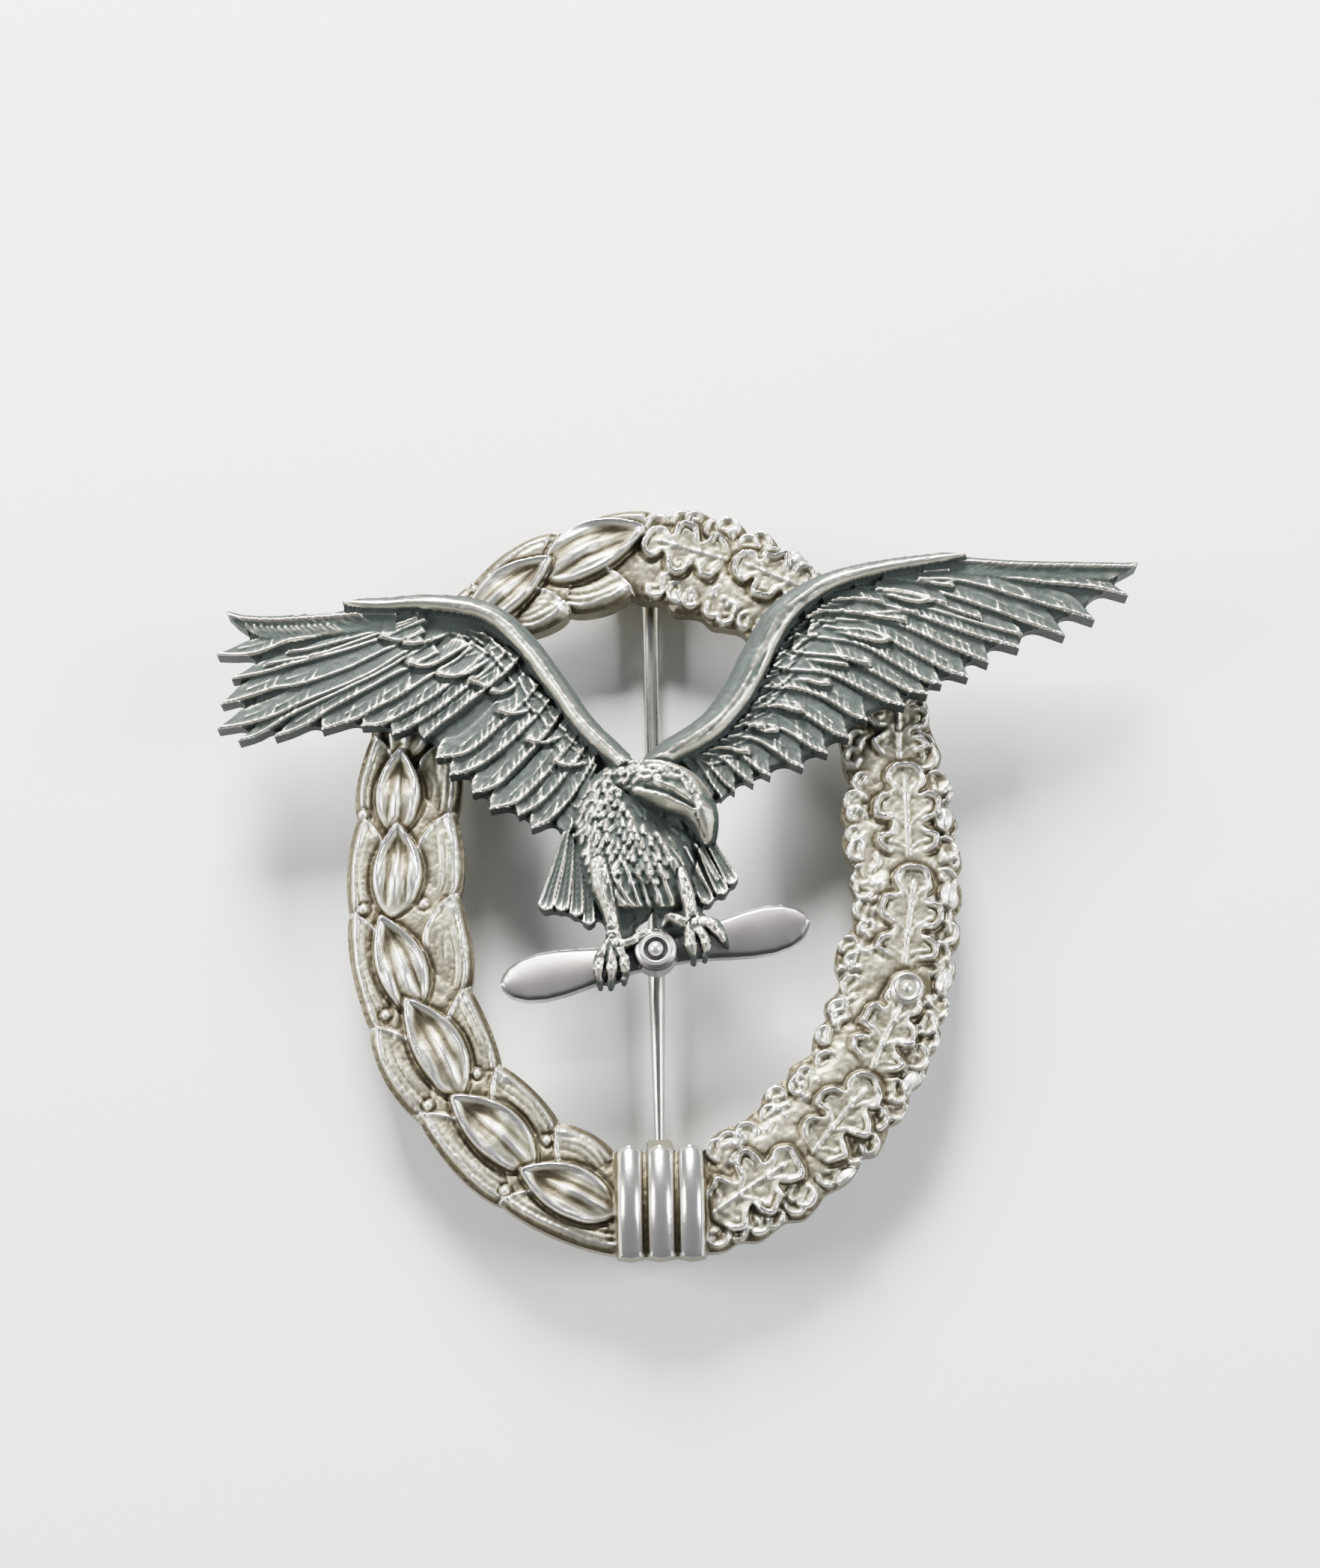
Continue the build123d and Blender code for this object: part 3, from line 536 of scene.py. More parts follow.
def oak(base, tip, half, z0=4.98, z1=5.3, rim=0.30, seed=0, lean=0.0):
    """Oak leaf: round lobes with a rolled rim, a middle vein and a vein into every lobe."""
    b, t = np.array(base, float), np.array(tip, float)
    d = t - b
    L = float(np.hypot(*d))
    u = d / L
    n = np.array([-u[1], u[0]])
    rng = np.random.RandomState(seed)
    right = [(x * half * (1 + 0.08 * rng.randn()), y + 0.012 * rng.randn()) for x, y in OAK_SHAPE]
    left = [(-x * half * (1 + 0.08 * rng.randn()), y + 0.02 + 0.012 * rng.randn()) for x, y in OAK_SHAPE[1:-1]][::-1]
    loop = [tuple(b + n * (-x) + d * y + n * lean * math.sin(math.pi * y)) for x, y in right + left]
    poly = spline(loop + [loop[0]], 0.22)
    w = W.near(poly, 0.8)
    X, Y = W.X[w], W.Y[w]
    sd = polygon_sd(X, Y, poly)
    k, v, _ = leaf_frame(X, Y, base, tip, 0.0)
    v = v - lean * np.sin(math.pi * np.clip(k, 0, 1))
    kk = np.clip(k, 0, 1)
    lobe = smooth01((np.abs(v) / half - 0.40) / 0.30)
    lobe = np.maximum(lobe, smooth01((kk - 0.88) / 0.06))
    W.H[w] -= 0.11 * bell(sd, -0.20, 0.17) * (0.2 + 0.8 * lobe)
    h = z0 + (z1 - z0) * kk - 0.06 * smooth01((sd - 0.2) / 0.4)
    lip = bell(sd, 0.17, 0.155)
    h += rim * 1.45 * lip * (0.05 + 0.95 * lobe)
    h += 0.12 * bell(sd, 0.68, 0.12) * lobe
    h -= 0.10 * bell(sd, 0.44, 0.10) * lobe
    vein = bell(v, 0.0, 0.10) * smooth01(kk / 0.06) * smooth01((0.90 - kk) / 0.1)
    h += 0.22 * vein
    sv = np.zeros_like(h)
    for x, y0, y1 in ((0.62, 0.10, 0.20), (0.74, 0.33, 0.52), (0.36, 0.60, 0.80)):
        for sgn in (-1, 1):
            p0 = b + d * y0
            p1 = b + d * y1 + n * sgn * x * half
            m = (p0 + p1) / 2 + d * 0.02
            ss, vv, ll = along(X, Y, [tuple(p0), tuple(m), tuple(p1)])
            sv = np.maximum(sv, bell(vv, 0, 0.085) * smooth01((ss + 0.1) / 0.2) * smooth01((ll - ss) / 0.25))
    h += 0.12 * sv * (1 - lip)
    h += 0.05 * noise2(X, Y, 0.42, seed) + 0.03 * noise2(X, Y, 0.2, seed + 3)
    pol_and_painted_light = 1.1 * lip * lobe + 0.6 * vein + 0.3 * sv - 0.35 * bell(sd, 0.46, 0.12) * lobe - 0.4 * bell(sd, -0.12, 0.12) * lobe
    a = smooth01(sd / 0.30 + 0.5) * (1 - 0.45 * smooth01((0.30 - kk) / 0.3))
    a = np.maximum(a * smooth01(sd / 0.12 + 0.5), 0)
    W.H[w] = W.H[w] * (1 - a) + h * a
    W.P[w] = W.P[w] * (1 - a) + np.clip(pol_and_painted_light, -1, 1) * a


def lobe_rim(x, y, r, z, out, rim=0.22, polish_and_painted_light=0.55, hollow=0.14):
    """One lobe of a side leaf, its rolled rim facing outwards."""
    w = W.window(x - r - 0.8, y - r - 0.8, x + r + 0.8, y + r + 0.8)
    X, Y = W.X[w] - x, W.Y[w] - y
    d = np.hypot(X, Y)
    face = smooth01(((X * out[0] + Y * out[1]) / np.maximum(d, 0.05) + 0.55) / 0.8)
    sd = (r - d)
    W.H[w] -= 0.06 * bell(sd, -0.15, 0.14) * face
    lip = bell(sd, 0.17, 0.15) * face
    h = z - hollow * smooth01(sd / 0.45) * face + rim * lip + 0.04 * noise2(W.X[w], W.Y[w], 0.35, 4)
    fade = smooth01((X * out[0] + Y * out[1] + r * 0.75) / 0.5)
    a = smooth01(sd / 0.12 + 0.5) * fade
    W.H[w] = W.H[w] * (1 - a) + h * a
    W.P[w] = W.P[w] * (1 - a) + polish_and_painted_light * lip * a


def acorn(x, y, ang, z=4.9, la=0.85, lb=0.60):
    w = W.window(x - 1.5, y - 1.5, x + 1.5, y + 1.5)
    c, s = math.cos(math.radians(ang)), math.sin(math.radians(ang))
    a = (W.X[w] - x) * c + (W.Y[w] - y) * s
    b = -(W.X[w] - x) * s + (W.Y[w] - y) * c
    d = np.sqrt((a / la) ** 2 + (b / lb) ** 2)
    W.H[w] -= 0.12 * bell((1 - d) * lb, -0.15, 0.13)
    h = z + 0.42 * np.sqrt(np.clip(1 - d ** 2, 0, 1)) + 0.07 * np.cos(b / 0.2 * 1.9) * smooth01((1 - d) / 0.3)
    W.over(w, h, (1 - d) * lb, 0.12, cut=False, polish_and_painted_light=0.35)


def run_lobes(line, sgn, start, step, inset, r0, r1, z, rim, seed):
    """Lobes set along an edge of the oak half, facing out of it."""
    edge = spline(line, 0.25)
    pos = np.cumsum(np.r_[0, np.hypot(*np.diff(edge, axis=0).T)])
    rng = np.random.RandomState(seed)
    out = []
    for s_at in np.arange(start, pos[-1] - 0.4, step):
        i = int(np.searchsorted(pos, s_at))
        t = edge[min(i + 3, len(edge) - 1)] - edge[max(i - 3, 0)]
        t = t / np.hypot(*t)
        n = np.array([-t[1], t[0]]) * sgn                 # into the band
        q = edge[i] + n * (inset + 0.16 * rng.randn()) + t * 0.12 * rng.randn()
        turn = 0.5 * rng.randn() + 0.35
        face = -n * math.cos(turn) + t * math.sin(turn)
        out.append((q[0], q[1], r0 + (r1 - r0) * rng.rand(), z + 0.06 * rng.randn(), face))
    order = rng.permutation(len(out))
    for i in order:
        x, y, r, zz, face = out[i]
        lobe_rim(x, y, r, zz, face, rim=rim)


# broad, soft swellings under the side leaves
w = W.window(2.5, -27.0, 22.0, 27.4)
lump = noise2(W.X[w], W.Y[w], 1.1, 41)
W.H[w] += 0.10 * lump + 0.05 * noise2(W.X[w], W.Y[w], 0.45, 42)
run_lobes(OAK_OUT, 1.0, 0.9, 1.45, 0.92, 0.78, 1.0, 4.80, 0.15, 3)
run_lobes(OAK_IN, -1.0, 0.5, 1.40, 0.82, 0.60, 0.85, 4.80, 0.16, 4)


def mark(pts, amp, sig, polish_and_painted_light=0.5):
    """A short raised stroke on the wreath, with a shallow dark foot."""
    P = [tuple(q) for q in spline(pts, 0.2)]
    w = W.near(P, 0.7)
    s, v, L = along(W.X[w], W.Y[w], P)
    o = np.maximum(np.maximum(-s, s - L), 0)
    r2 = v * v + o * o
    f = np.exp(-r2 / (sig * sig))
    W.H[w] += amp * f - 0.12 * amp * np.exp(-((np.sqrt(r2) - 2.1 * sig) / (0.9 * sig)) ** 2)
    W.P[w] = np.maximum(W.P[w], polish_and_painted_light * f)


rng = np.random.RandomState(77)
for line, sgn, gap, hi in ((OAK_IN, -1.0, 1.15, 0.8), (OAK_OUT, 1.0, 1.9, 0.45)):
    edge = spline(line, 0.25)
    pos = np.cumsum(np.r_[0, np.hypot(*np.diff(edge, axis=0).T)])
    s_at = 0.5
    while s_at < pos[-1] - 0.6:
        i = int(np.searchsorted(pos, s_at))
        t = edge[min(i + 3, len(edge) - 1)] - edge[max(i - 3, 0)]
        t = t / np.hypot(*t)
        nn = np.array([-t[1], t[0]]) * sgn
        p = edge[i] + nn * (0.55 + 1.5 * rng.rand())
        ang = 0.7 * rng.randn()
        d = nn * math.cos(ang) * 0.8 + t * (0.6 + math.sin(ang))
        d = d / np.hypot(*d)
        ln = 0.45 + 0.65 * rng.rand()
        c = np.array([-d[1], d[0]]) * 0.28 * ln * rng.choice([-1, 1])
        mark([tuple(p - d * ln / 2), tuple(p + c), tuple(p + d * ln / 2)], 0.12 + 0.10 * rng.rand(), 0.15 + 0.06 * rng.rand(), hi * (0.3 + 0.5 * rng.rand()))
        s_at += gap * (0.7 + 0.6 * rng.rand())
for x, y, ang in [(12.4, -21.5, 35), (16.9, -15.2, 55), (19.4, -8.4, 75), (20.0, -2.2, 85), (19.9, 3.2, 92), (10.4, 22.2, 150)]:
    acorn(x, y, ang)

OAKS = [
    ((3.2, -23.9), (9.3, -20.0), 2.2), ((10.0, -20.0), (14.5, -14.9), 2.15), ((14.2, -14.4), (17.0, -8.9), 2.2),
    ((16.7, -7.3), (17.8, -0.2), 2.2), ((17.4, 0.3), (17.35, 7.2), 2.25), ((17.0, 7.3), (17.1, 13.2), 2.1),
    ((16.9, 12.9), (13.5, 18.6), 2.1), ((11.8, 19.8), (6.0, 22.4), 1.95), ((5.7, 22.4), (-0.3, 24.2), 1.95),
]
for k, (b, t, hw) in reversed(list(enumerate(OAKS))):
    oak(b, t, hw, seed=k + 3, lean=0.12 if k < 3 else 0.0)
# the curled tip
cx, cy, cr = 16.85, -8.75, 1.2
w = W.window(cx - 2, cy - 2, cx + 2, cy + 2)
d = np.hypot(W.X[w] - cx, W.Y[w] - cy)
hh = 5.25 + 0.36 * bell(d, 0.88, 0.18) + 0.34 * bell(d, 0.0, 0.34) + 0.1 * bell(d, 0.5, 0.1)
W.over(w, hh, cr - d, 0.12, cut=False, polish_and_painted_light=np.clip(0.9 * bell(d, 0.88, 0.2) + 0.7 * bell(d, 0, 0.35), 0, 1))

# the tie
w = W.window(-4.0, -27.4, 4.0, -18.4)
X, Y = W.X[w], W.Y[w]
mid_y = -22.75
arch = np.cos(np.clip((Y - mid_y) / 4.15, -1, 1) * math.pi / 2)
h = 4.25 + 1.05 * arch + 0.03 * noise2(X, Y, 0.3, 5)
shine = np.zeros(X.shape)
for cx_, r_ in ((-2.02, 0.80), (0.02, 0.84), (2.05, 0.82)):
    dx = np.abs(X - cx_) / r_
    rib = 4.45 + 1.22 * arch + 0.66 * np.sqrt(np.clip(1 - dx ** 2, 0, 1)) ** 0.85
    h = np.where(dx < 1, np.maximum(h, rib), h)
    shine = np.maximum(shine, smooth01((0.98 - dx) / 0.12))
sd = np.minimum(3.02 - np.abs(X), 9.0)
W.over(w, h, sd, 0.12, cut=False, polish_and_painted_light=0.92 * shine)
W.H = np.minimum(W.H, 6.4)
# the edge along the outline is rounded off
wreath = build(W, "wreath_relief", WREATH_BACK, round_edge=0.30)
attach(wreath, "badge")
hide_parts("wreath")

# ------------------------------------------------------------------ eagle
E = Field(-30.8, -9.6, 34.8, 22.4, 0.085, 6.8)

LEFT_PLATE = [(-2.4, 7.0), (-5.5, 11.6), (-8.1, 15.6), (-11.4, 18.2), (-16.0, 18.7), (-20.6, 18.4), (-27.5, 17.7),
              (-26.8, 15.6), (-27.2, 13.6), (-27.2, 11.6), (-27.2, 9.9), (-25.0, 9.9), (-22.0, 10.2),
              (-19.0, 10.3), (-16.2, 9.8), (-13.6, 7.8), (-12.8, 6.9), (-11.3, 5.5), (-10.1, 4.5), (-8.2, 3.9),
              (-6.8, 3.0), (-4.0, 2.8), (-1.5, 5.0)]
RIGHT_PLATE = [(0.6, 7.2), (3.6, 9.8), (6.3, 13.0), (8.0, 16.2), (10.4, 19.2), (14.0, 20.6), (18.5, 21.2),
               (22.0, 21.1), (28.0, 20.5), (32.6, 20.3), (31.4, 19.0), (30.0, 17.8), (27.6, 16.6), (24.6, 15.6),
               (22.2, 14.4), (20.6, 13.1), (18.6, 12.5), (16.4, 11.2), (14.0, 9.9), (12.4, 8.5), (10.6, 7.3),
               (8.4, 6.6), (6.6, 6.0), (5.2, 5.3), (3.0, 3.8), (0.5, 5.0)]
for plate in (LEFT_PLATE, RIGHT_PLATE):
    w = E.near(plate, 0.6)
    E.over(w, np.full(E.X[w].shape, 7.0), polygon_sd(E.X[w], E.Y[w], plate), 0.1)


def L_(points):
    return [(x / 50.0 - 31.0, 22.0 - y / 50.0) for x, y in points]


def R_(points):
    return [(x / 44.12, 24.0 - y / 44.12) for x, y in points]


def stroke(pts, amp, sig, end=0.35, polish_and_painted_light=None):
    """A fine raised line, fading to its end."""
    w = E.near(pts, 0.4)
    X, Y = E.X[w], E.Y[w]
    s, v, L = along(X, Y, pts)
    o = np.maximum(np.maximum(-s, s - L), 0)
    f = (1 - (1 - end) * np.clip(s / L, 0, 1)) * np.exp(-((v * v + o * o) / (sig * sig)))
    E.H[w] += amp * f
    if polish_and_painted_light:
        E.P[w] = np.maximum(E.P[w], polish_and_painted_light * f)


def turned(t, deg):
    c, s = math.cos(math.radians(deg)), math.sin(math.radians(deg))
    return np.array([t[0] * c - t[1] * s, t[0] * s + t[1] * c])


def at_length(P, s):
    pos = np.cumsum(np.r_[0, np.hypot(*np.diff(P, axis=0).T)])
    s = min(max(s, 0.0), pos[-1] - 1e-6)
    i = int(np.searchsorted(pos, s, side="right")) - 1
    i = min(max(i, 0), len(P) - 2)
    t = (P[i + 1] - P[i]) / np.hypot(*(P[i + 1] - P[i]))
    return P[i] + t * (s - pos[i]), t, pos[-1]


def barbs(P, side, starts, span, step, length, amp, sig, seed, lean0=18.0, lean1=62.0):
    """Fans of barbs standing off the feather's edge and bending away from it."""
    rng = np.random.RandomState(seed)
    for s0 in starts:
        n = max(2, int(span / step))
        for i in range(n):
            q = i / max(n - 1, 1)
            p, t, L = at_length(P, s0 + i * step + 0.05 * rng.randn())
            ln = length * (0.55 + 0.65 * q) * (0.85 + 0.3 * rng.rand())
            d0, d1 = turned(t, side * lean0), turned(t, side * (lean1 + 8 * rng.randn()))
            m = p + d0 * ln * 0.30 + d1 * ln * 0.12
            e = m + (0.35 * d0 + 0.65 * d1) * ln * 0.62
            stroke([tuple(p), tuple(m), tuple(e)], amp * (0.65 + 0.6 * rng.rand()), sig, 0.3, polish_and_painted_light=1.05)


def feather(line, side, width, z_tip, z_root, tip_len=1.6, sharp=1.0, ridge=0.22, fall=0.22, lip=0.08, fade=0.55,
            hold=0.0, fans=(), fan=(1.7, 0.40, 0.95, 0.10, 0.085), shaft=False, seed=0):
    """A long feather: its edge is a raised line, and the vane falls away from it."""
    P = spline(line, 0.4)
    w = E.near(P, width + 0.5)
    X, Y = E.X[w], E.Y[w]
    s, v, L = along(X, Y, P)
    v = v * side
    q = np.clip(s / tip_len, 0, 1)
    tipw = (1 - (1 - q) ** (1.0 + sharp)) if sharp > 0 else np.sqrt(np.clip(1 - (1 - q) ** 2, 0, 1))
    wv = width * tipw
    sd = np.minimum(np.minimum(wv - v, v + lip), np.minimum(s + 0.06, L - s + 0.2))
    h = z_tip + (z_root - z_tip) * np.clip(s / L, 0, 1)
    h -= 0.75 * fall * np.clip(v / width, 0, 1)
    h += 0.85 * ridge * np.exp(-((v - 0.06) / 0.115) ** 2) * (1 - fade * smooth01(s / L * 1.25))
    h += 0.12 * np.exp(-(s / 0.55) ** 2)
    # the vane's own fine ribs
    ph = (s * 0.62 - v * 1.15 + 0.18 * noise2(s, v, 0.8, seed)) / 0.30
    h += 0.012 * np.sin(2 * math.pi * ph) * smooth01(v / 0.25)
    h += 0.022 * noise2(s * 0.5, v * 1.4, 0.3, seed + 7)
    # the bright tip is rubbed metal with a painted highlight on it
    tone = np.exp(-((v - 0.05) / 0.10) ** 2) * (0.95 - 0.45 * smooth01(s / L * 1.3)) + 0.65 * np.exp(-(s / 0.42) ** 2)
    E.over(w, h, sd, 0.085, cut=False, polish_and_painted_light=np.clip(tone, 0, 1))
    E.M[w] = np.maximum(E.M[w], np.where(s < L - hold, sd, -9.0))
    if shaft:
        rng = np.random.RandomState(seed + 200)
        for a0, a1 in ((1.9, 3.6), (4.4, 6.4)):
            pa, ta, LL = at_length(P, a0 + 0.4 * rng.randn())
            if a0 + 1.0 > LL:
                continue
            pb, tb, _ = at_length(P, min(a1, LL - 0.3))
            off = 0.52 * width
            na, nb = turned(ta, 90 * side), turned(tb, 90 * side)
            stroke([tuple(pa + na * off * 0.8), tuple(pb + nb * off)], 0.10, 0.08, 0.4, polish_and_painted_light=0.45)
    if fans:
        barbs(P, side, fans, fan[0], fan[1], fan[2], fan[3], fan[4], seed + 500)


LEFT_LONG = [
    ([(1135, 985), (1190, 962), (1240, 915), (1285, 860), (1320, 800)], 1.45, "s"),
    ([(1090, 938), (1150, 907), (1200, 860), (1250, 800), (1290, 745)], 1.45, "s"),
    ([(995, 914), (1080, 894), (1130, 850), (1180, 800), (1230, 740)], 1.5, "s"),
    ([(935, 857), (1010, 836), (1055, 797), (1105, 745), (1160, 680)], 1.5, "s"),
    ([(858, 790), (920, 778), (985, 742), (1045, 695), (1110, 630)], 1.5, "s"),
    ([(812, 728), (900, 720), (950, 690), (1005, 640), (1070, 575)], 1.5, "s"),
    ([(768, 658), (825, 607), (880, 567), (935, 520), (1000, 465)], 1.4, "s"),
    ([(662, 642), (725, 614), (785, 577), (835, 542), (890, 495), (950, 445)], 1.45, "s"),
    ([(555, 609), (625, 605), (685, 577), (745, 542), (805, 505), (880, 445)], 1.45, "s"),
    ([(420, 620), (480, 602), (540, 582), (600, 547), (670, 512), (750, 460), (820, 415)], 1.45, "s"),
    ([(258, 643), (320, 622), (380, 592), (435, 554), (500, 517), (575, 477), (650, 435), (740, 390)], 1.2, "p"),
    ([(135, 656), (200, 635), (262, 597), (330, 558), (400, 524), (470, 492), (540, 458), (620, 418), (700, 370)], 0.95, "p"),
    ([(62, 612), (130, 602), (200, 587), (270, 562), (330, 532), (400, 502), (460, 478), (520, 452), (590, 418), (690, 355)], 1.35, "p"),
    ([(72, 523), (130, 508), (200, 488), (260, 468), (330, 460), (400, 440), (470, 415), (520, 395), (600, 355), (690, 310)], 1.35, "p"),
    ([(105, 432), (170, 421), (240, 405), (320, 382), (400, 362), (500, 335), (600, 302), (690, 265)], 0.95, "p"),
    ([(215, 385), (280, 372), (350, 362), (420, 346), (500, 318), (580, 290), (660, 262)], 0.6, "p"),
    ([(52, 343), (120, 346), (190, 340), (240, 322), (290, 300), (350, 290), (440, 270), (560, 244), (660, 226)], 1.15, "p"),
    ([(290, 336), (350, 334), (420, 318), (500, 298), (580, 275), (660, 250)], 0.5, "p"),
]


def longer(pts, by, bend):
    """Carry a feather's root on under the ones above it."""
    p = [tuple(q) for q in pts]
    d = np.array(p[-1]) - np.array(p[-2])
    d = d / np.hypot(*d)
    a = np.array(p[-1])
    return p + [tuple(a + d * by * 0.5), tuple(a + d * by * 0.5 + turned(d, bend) * by * 0.5)]


for pts, sgn in (([(-5.15, 1.1), (-4.7, 2.6), (-4.2, 4.2), (-3.6, 5.8)], 1.0), ([(-5.75, 1.9), (-5.3, 3.3), (-4.7, 4.9), (-3.9, 6.6)], 1.0),
                 ([(3.85, 4.2), (3.2, 5.2), (2.5, 6.3), (1.6, 7.3)], -1.0), ([(4.6, 4.25), (4.0, 5.1), (3.4, 6.2), (2.6, 7.4)], -1.0)):
    feather(pts, sgn, 1.2, 7.2, 7.4, tip_len=0.9, sharp=0.0, fans=(0.3,), fan=(1.8, 0.42, 1.0, 0.16, 0.11), hold=2.0, seed=int(pts[0][0] * 10) + 300)
n = len(LEFT_LONG)
for k, (line, wd, kind) in enumerate(LEFT_LONG):
    base_z = 7.22 + 0.10 * (k / n)
    if kind == "s":
        feather(longer(L_(line), 2.6, 6), 1.0, wd, base_z, 7.42, hold=2.8, tip_len=0.9, sharp=0.0, fans=(0.25, 2.7, 5.0), fan=(2.1, 0.46, 1.25, 0.17, 0.115), shaft=True, seed=k)
    else:
        feather(longer(L_(line), 1.6, 3), 1.0, wd, base_z, 7.45, hold=1.8, tip_len=2.6, sharp=0.5, ridge=0.24, fade=0.4, fans=(2.4, 5.0) if wd > 1 else (3.0,),
                fan=(1.8, 0.5, 0.95, 0.13, 0.10), shaft=wd > 1.1, seed=k)
# first primary: the raised edge is on top and the barbs hang below it
top_l = L_([(86, 198), (150, 213), (250, 219), (350, 215), (450, 210), (540, 203), (660, 205)])
feather(top_l, -1.0, 1.35, 7.42, 7.5, tip_len=2.8, sharp=0.3, ridge=0.24, fall=0.16, lip=0.26, fade=0.1, seed=77)
barbs(spline(top_l, 0.4), -1.0, (1.0,), 8.6, 0.36, 0.85, 0.15, 0.10, 78, lean0=45, lean1=20)
barbs(spline(L_([(130, 232), (250, 247), (350, 245), (500, 238)]), 0.4), -1.0, (0.6,), 6.4, 0.42, 0.75, 0.12, 0.09, 79, lean0=55, lean1=30)

RIGHT_LONG = [
    ([(1462, 248), (1390, 226), (1320, 213), (1230, 205), (1130, 190), (1030, 168), (930, 158), (850, 162)], 1.0),
    ([(1355, 325), (1290, 300), (1200, 272), (1110, 242), (1020, 211), (930, 190), (830, 186)], 1.4),
    ([(1262, 375), (1190, 346), (1110, 314), (1030, 282), (950, 252), (870, 226), (790, 210), (720, 205)], 1.7),
    ([(1120, 412), (1060, 382), (990, 347), (920, 306), (850, 265), (790, 238), (730, 230)], 1.35),
    ([(1025, 458), (975, 424), (910, 383), (850, 337), (790, 295), (730, 266), (680, 258)], 1.25),
    ([(960, 503), (905, 473), (850, 428), (795, 382), (740, 335), (690, 303), (640, 290)], 1.25),
    ([(880, 523), (830, 503), (780, 458), (730, 412), (685, 370), (640, 343), (590, 326)], 1.35),
    ([(835, 555), (780, 533), (735, 497), (690, 456), (640, 415), (595, 388), (540, 372)], 1.3),
    ([(765, 591), (715, 568), (670, 533), (625, 496), (580, 460), (535, 438), (480, 422)], 1.35),
    ([(650, 635), (610, 613), (575, 578), (540, 546), (500, 520), (455, 498), (410, 488)], 1.45),
    ([(592, 691), (550, 668), (515, 633), (480, 601), (440, 575), (400, 558), (350, 552)], 1.35),
    ([(525, 738), (485, 715), (450, 682), (415, 651), (375, 630), (335, 616), (290, 615)], 1.35),
    ([(450, 781), (415, 758), (380, 722), (345, 691), (310, 670), (270, 660), (230, 662)], 1.4),
    ([(352, 805), (320, 783), (290, 747), (260, 721), (225, 705), (190, 703)], 1.25),
    ([(300, 828), (270, 803), (240, 767), (215, 741), (180, 725), (150, 723)], 1.15),
    ([(243, 851), (215, 825), (190, 787), (165, 756), (130, 738)], 1.1),
]
n = len(RIGHT_LONG)
for k, (line, wd) in reversed(list(enumerate(RIGHT_LONG))):
    if k >= 3:
        a = math.radians(float(np.interp(k, [3, 8, 12, 15], [9, 10, 7, 4])))
        x0, y0 = line[0]
        line = [(x0 + (x - x0) * math.cos(a) + (y - y0) * math.sin(a), y0 - (x - x0) * math.sin(a) + (y - y0) * math.cos(a)) for x, y in line]
    base_z = 7.32 - 0.10 * (k / n)
    if k >= 3:
        feather(longer(R_(line), 1.8, -6), -1.0, wd * (1.6 if k == 3 else 1.25 if k < 7 else 1.12), base_z, 7.42, hold=2.4, tip_len=1.1, sharp=0.25, fans=(0.3, 2.5, 4.7) if k < 11 else (0.3,),
                fan=(2.1, 0.42, 1.15, 0.17, 0.11), shaft=k < 13, seed=k + 40)
    else:
        feather(R_(line), -1.0, wd, base_z, 7.50, tip_len=2.4, sharp=0.4, ridge=0.24, fade=0.35, fans=(0.9, 3.4, 6.0),
                fan=(2.0, 0.42, 0.95, 0.13, 0.10), shaft=True, seed=k + 40)
for k, pts in enumerate(([(1130, 372), (1060, 352), (980, 326), (900, 298), (820, 272), (740, 256)], [(1010, 318), (940, 292), (870, 262), (800, 236), (720, 222)],
                         [(905, 268), (840, 243), (770, 222), (700, 216)], [(820, 300), (760, 282), (700, 262), (640, 250)],
                         [(715, 262), (660, 248), (600, 246), (540, 262)], [(650, 300), (600, 290), (540, 288), (480, 300)])):
    feather(R_(pts), -1.0, 0.8, 7.40 + 0.01 * k, 7.45, tip_len=1.0, sharp=0.0, ridge=0.22, fans=(0.3,), fan=(1.6, 0.42, 0.7, 0.13, 0.10), hold=9.0, seed=k + 700)
top_r = R_([(1495, 153), (1400, 150), (1250, 145), (1100, 138), (1000, 128), (930, 124)])
feather(top_r, 1.0, 1.0, 7.45, 7.5, tip_len=2.0, sharp=0.3, ridge=0.22, fall=0.14, lip=0.26, fade=0.1, seed=88)
barbs(spline(top_r, 0.4), 1.0, (0.8,), 10.0, 0.36, 0.75, 0.12, 0.09, 89, lean0=30, lean1=20)


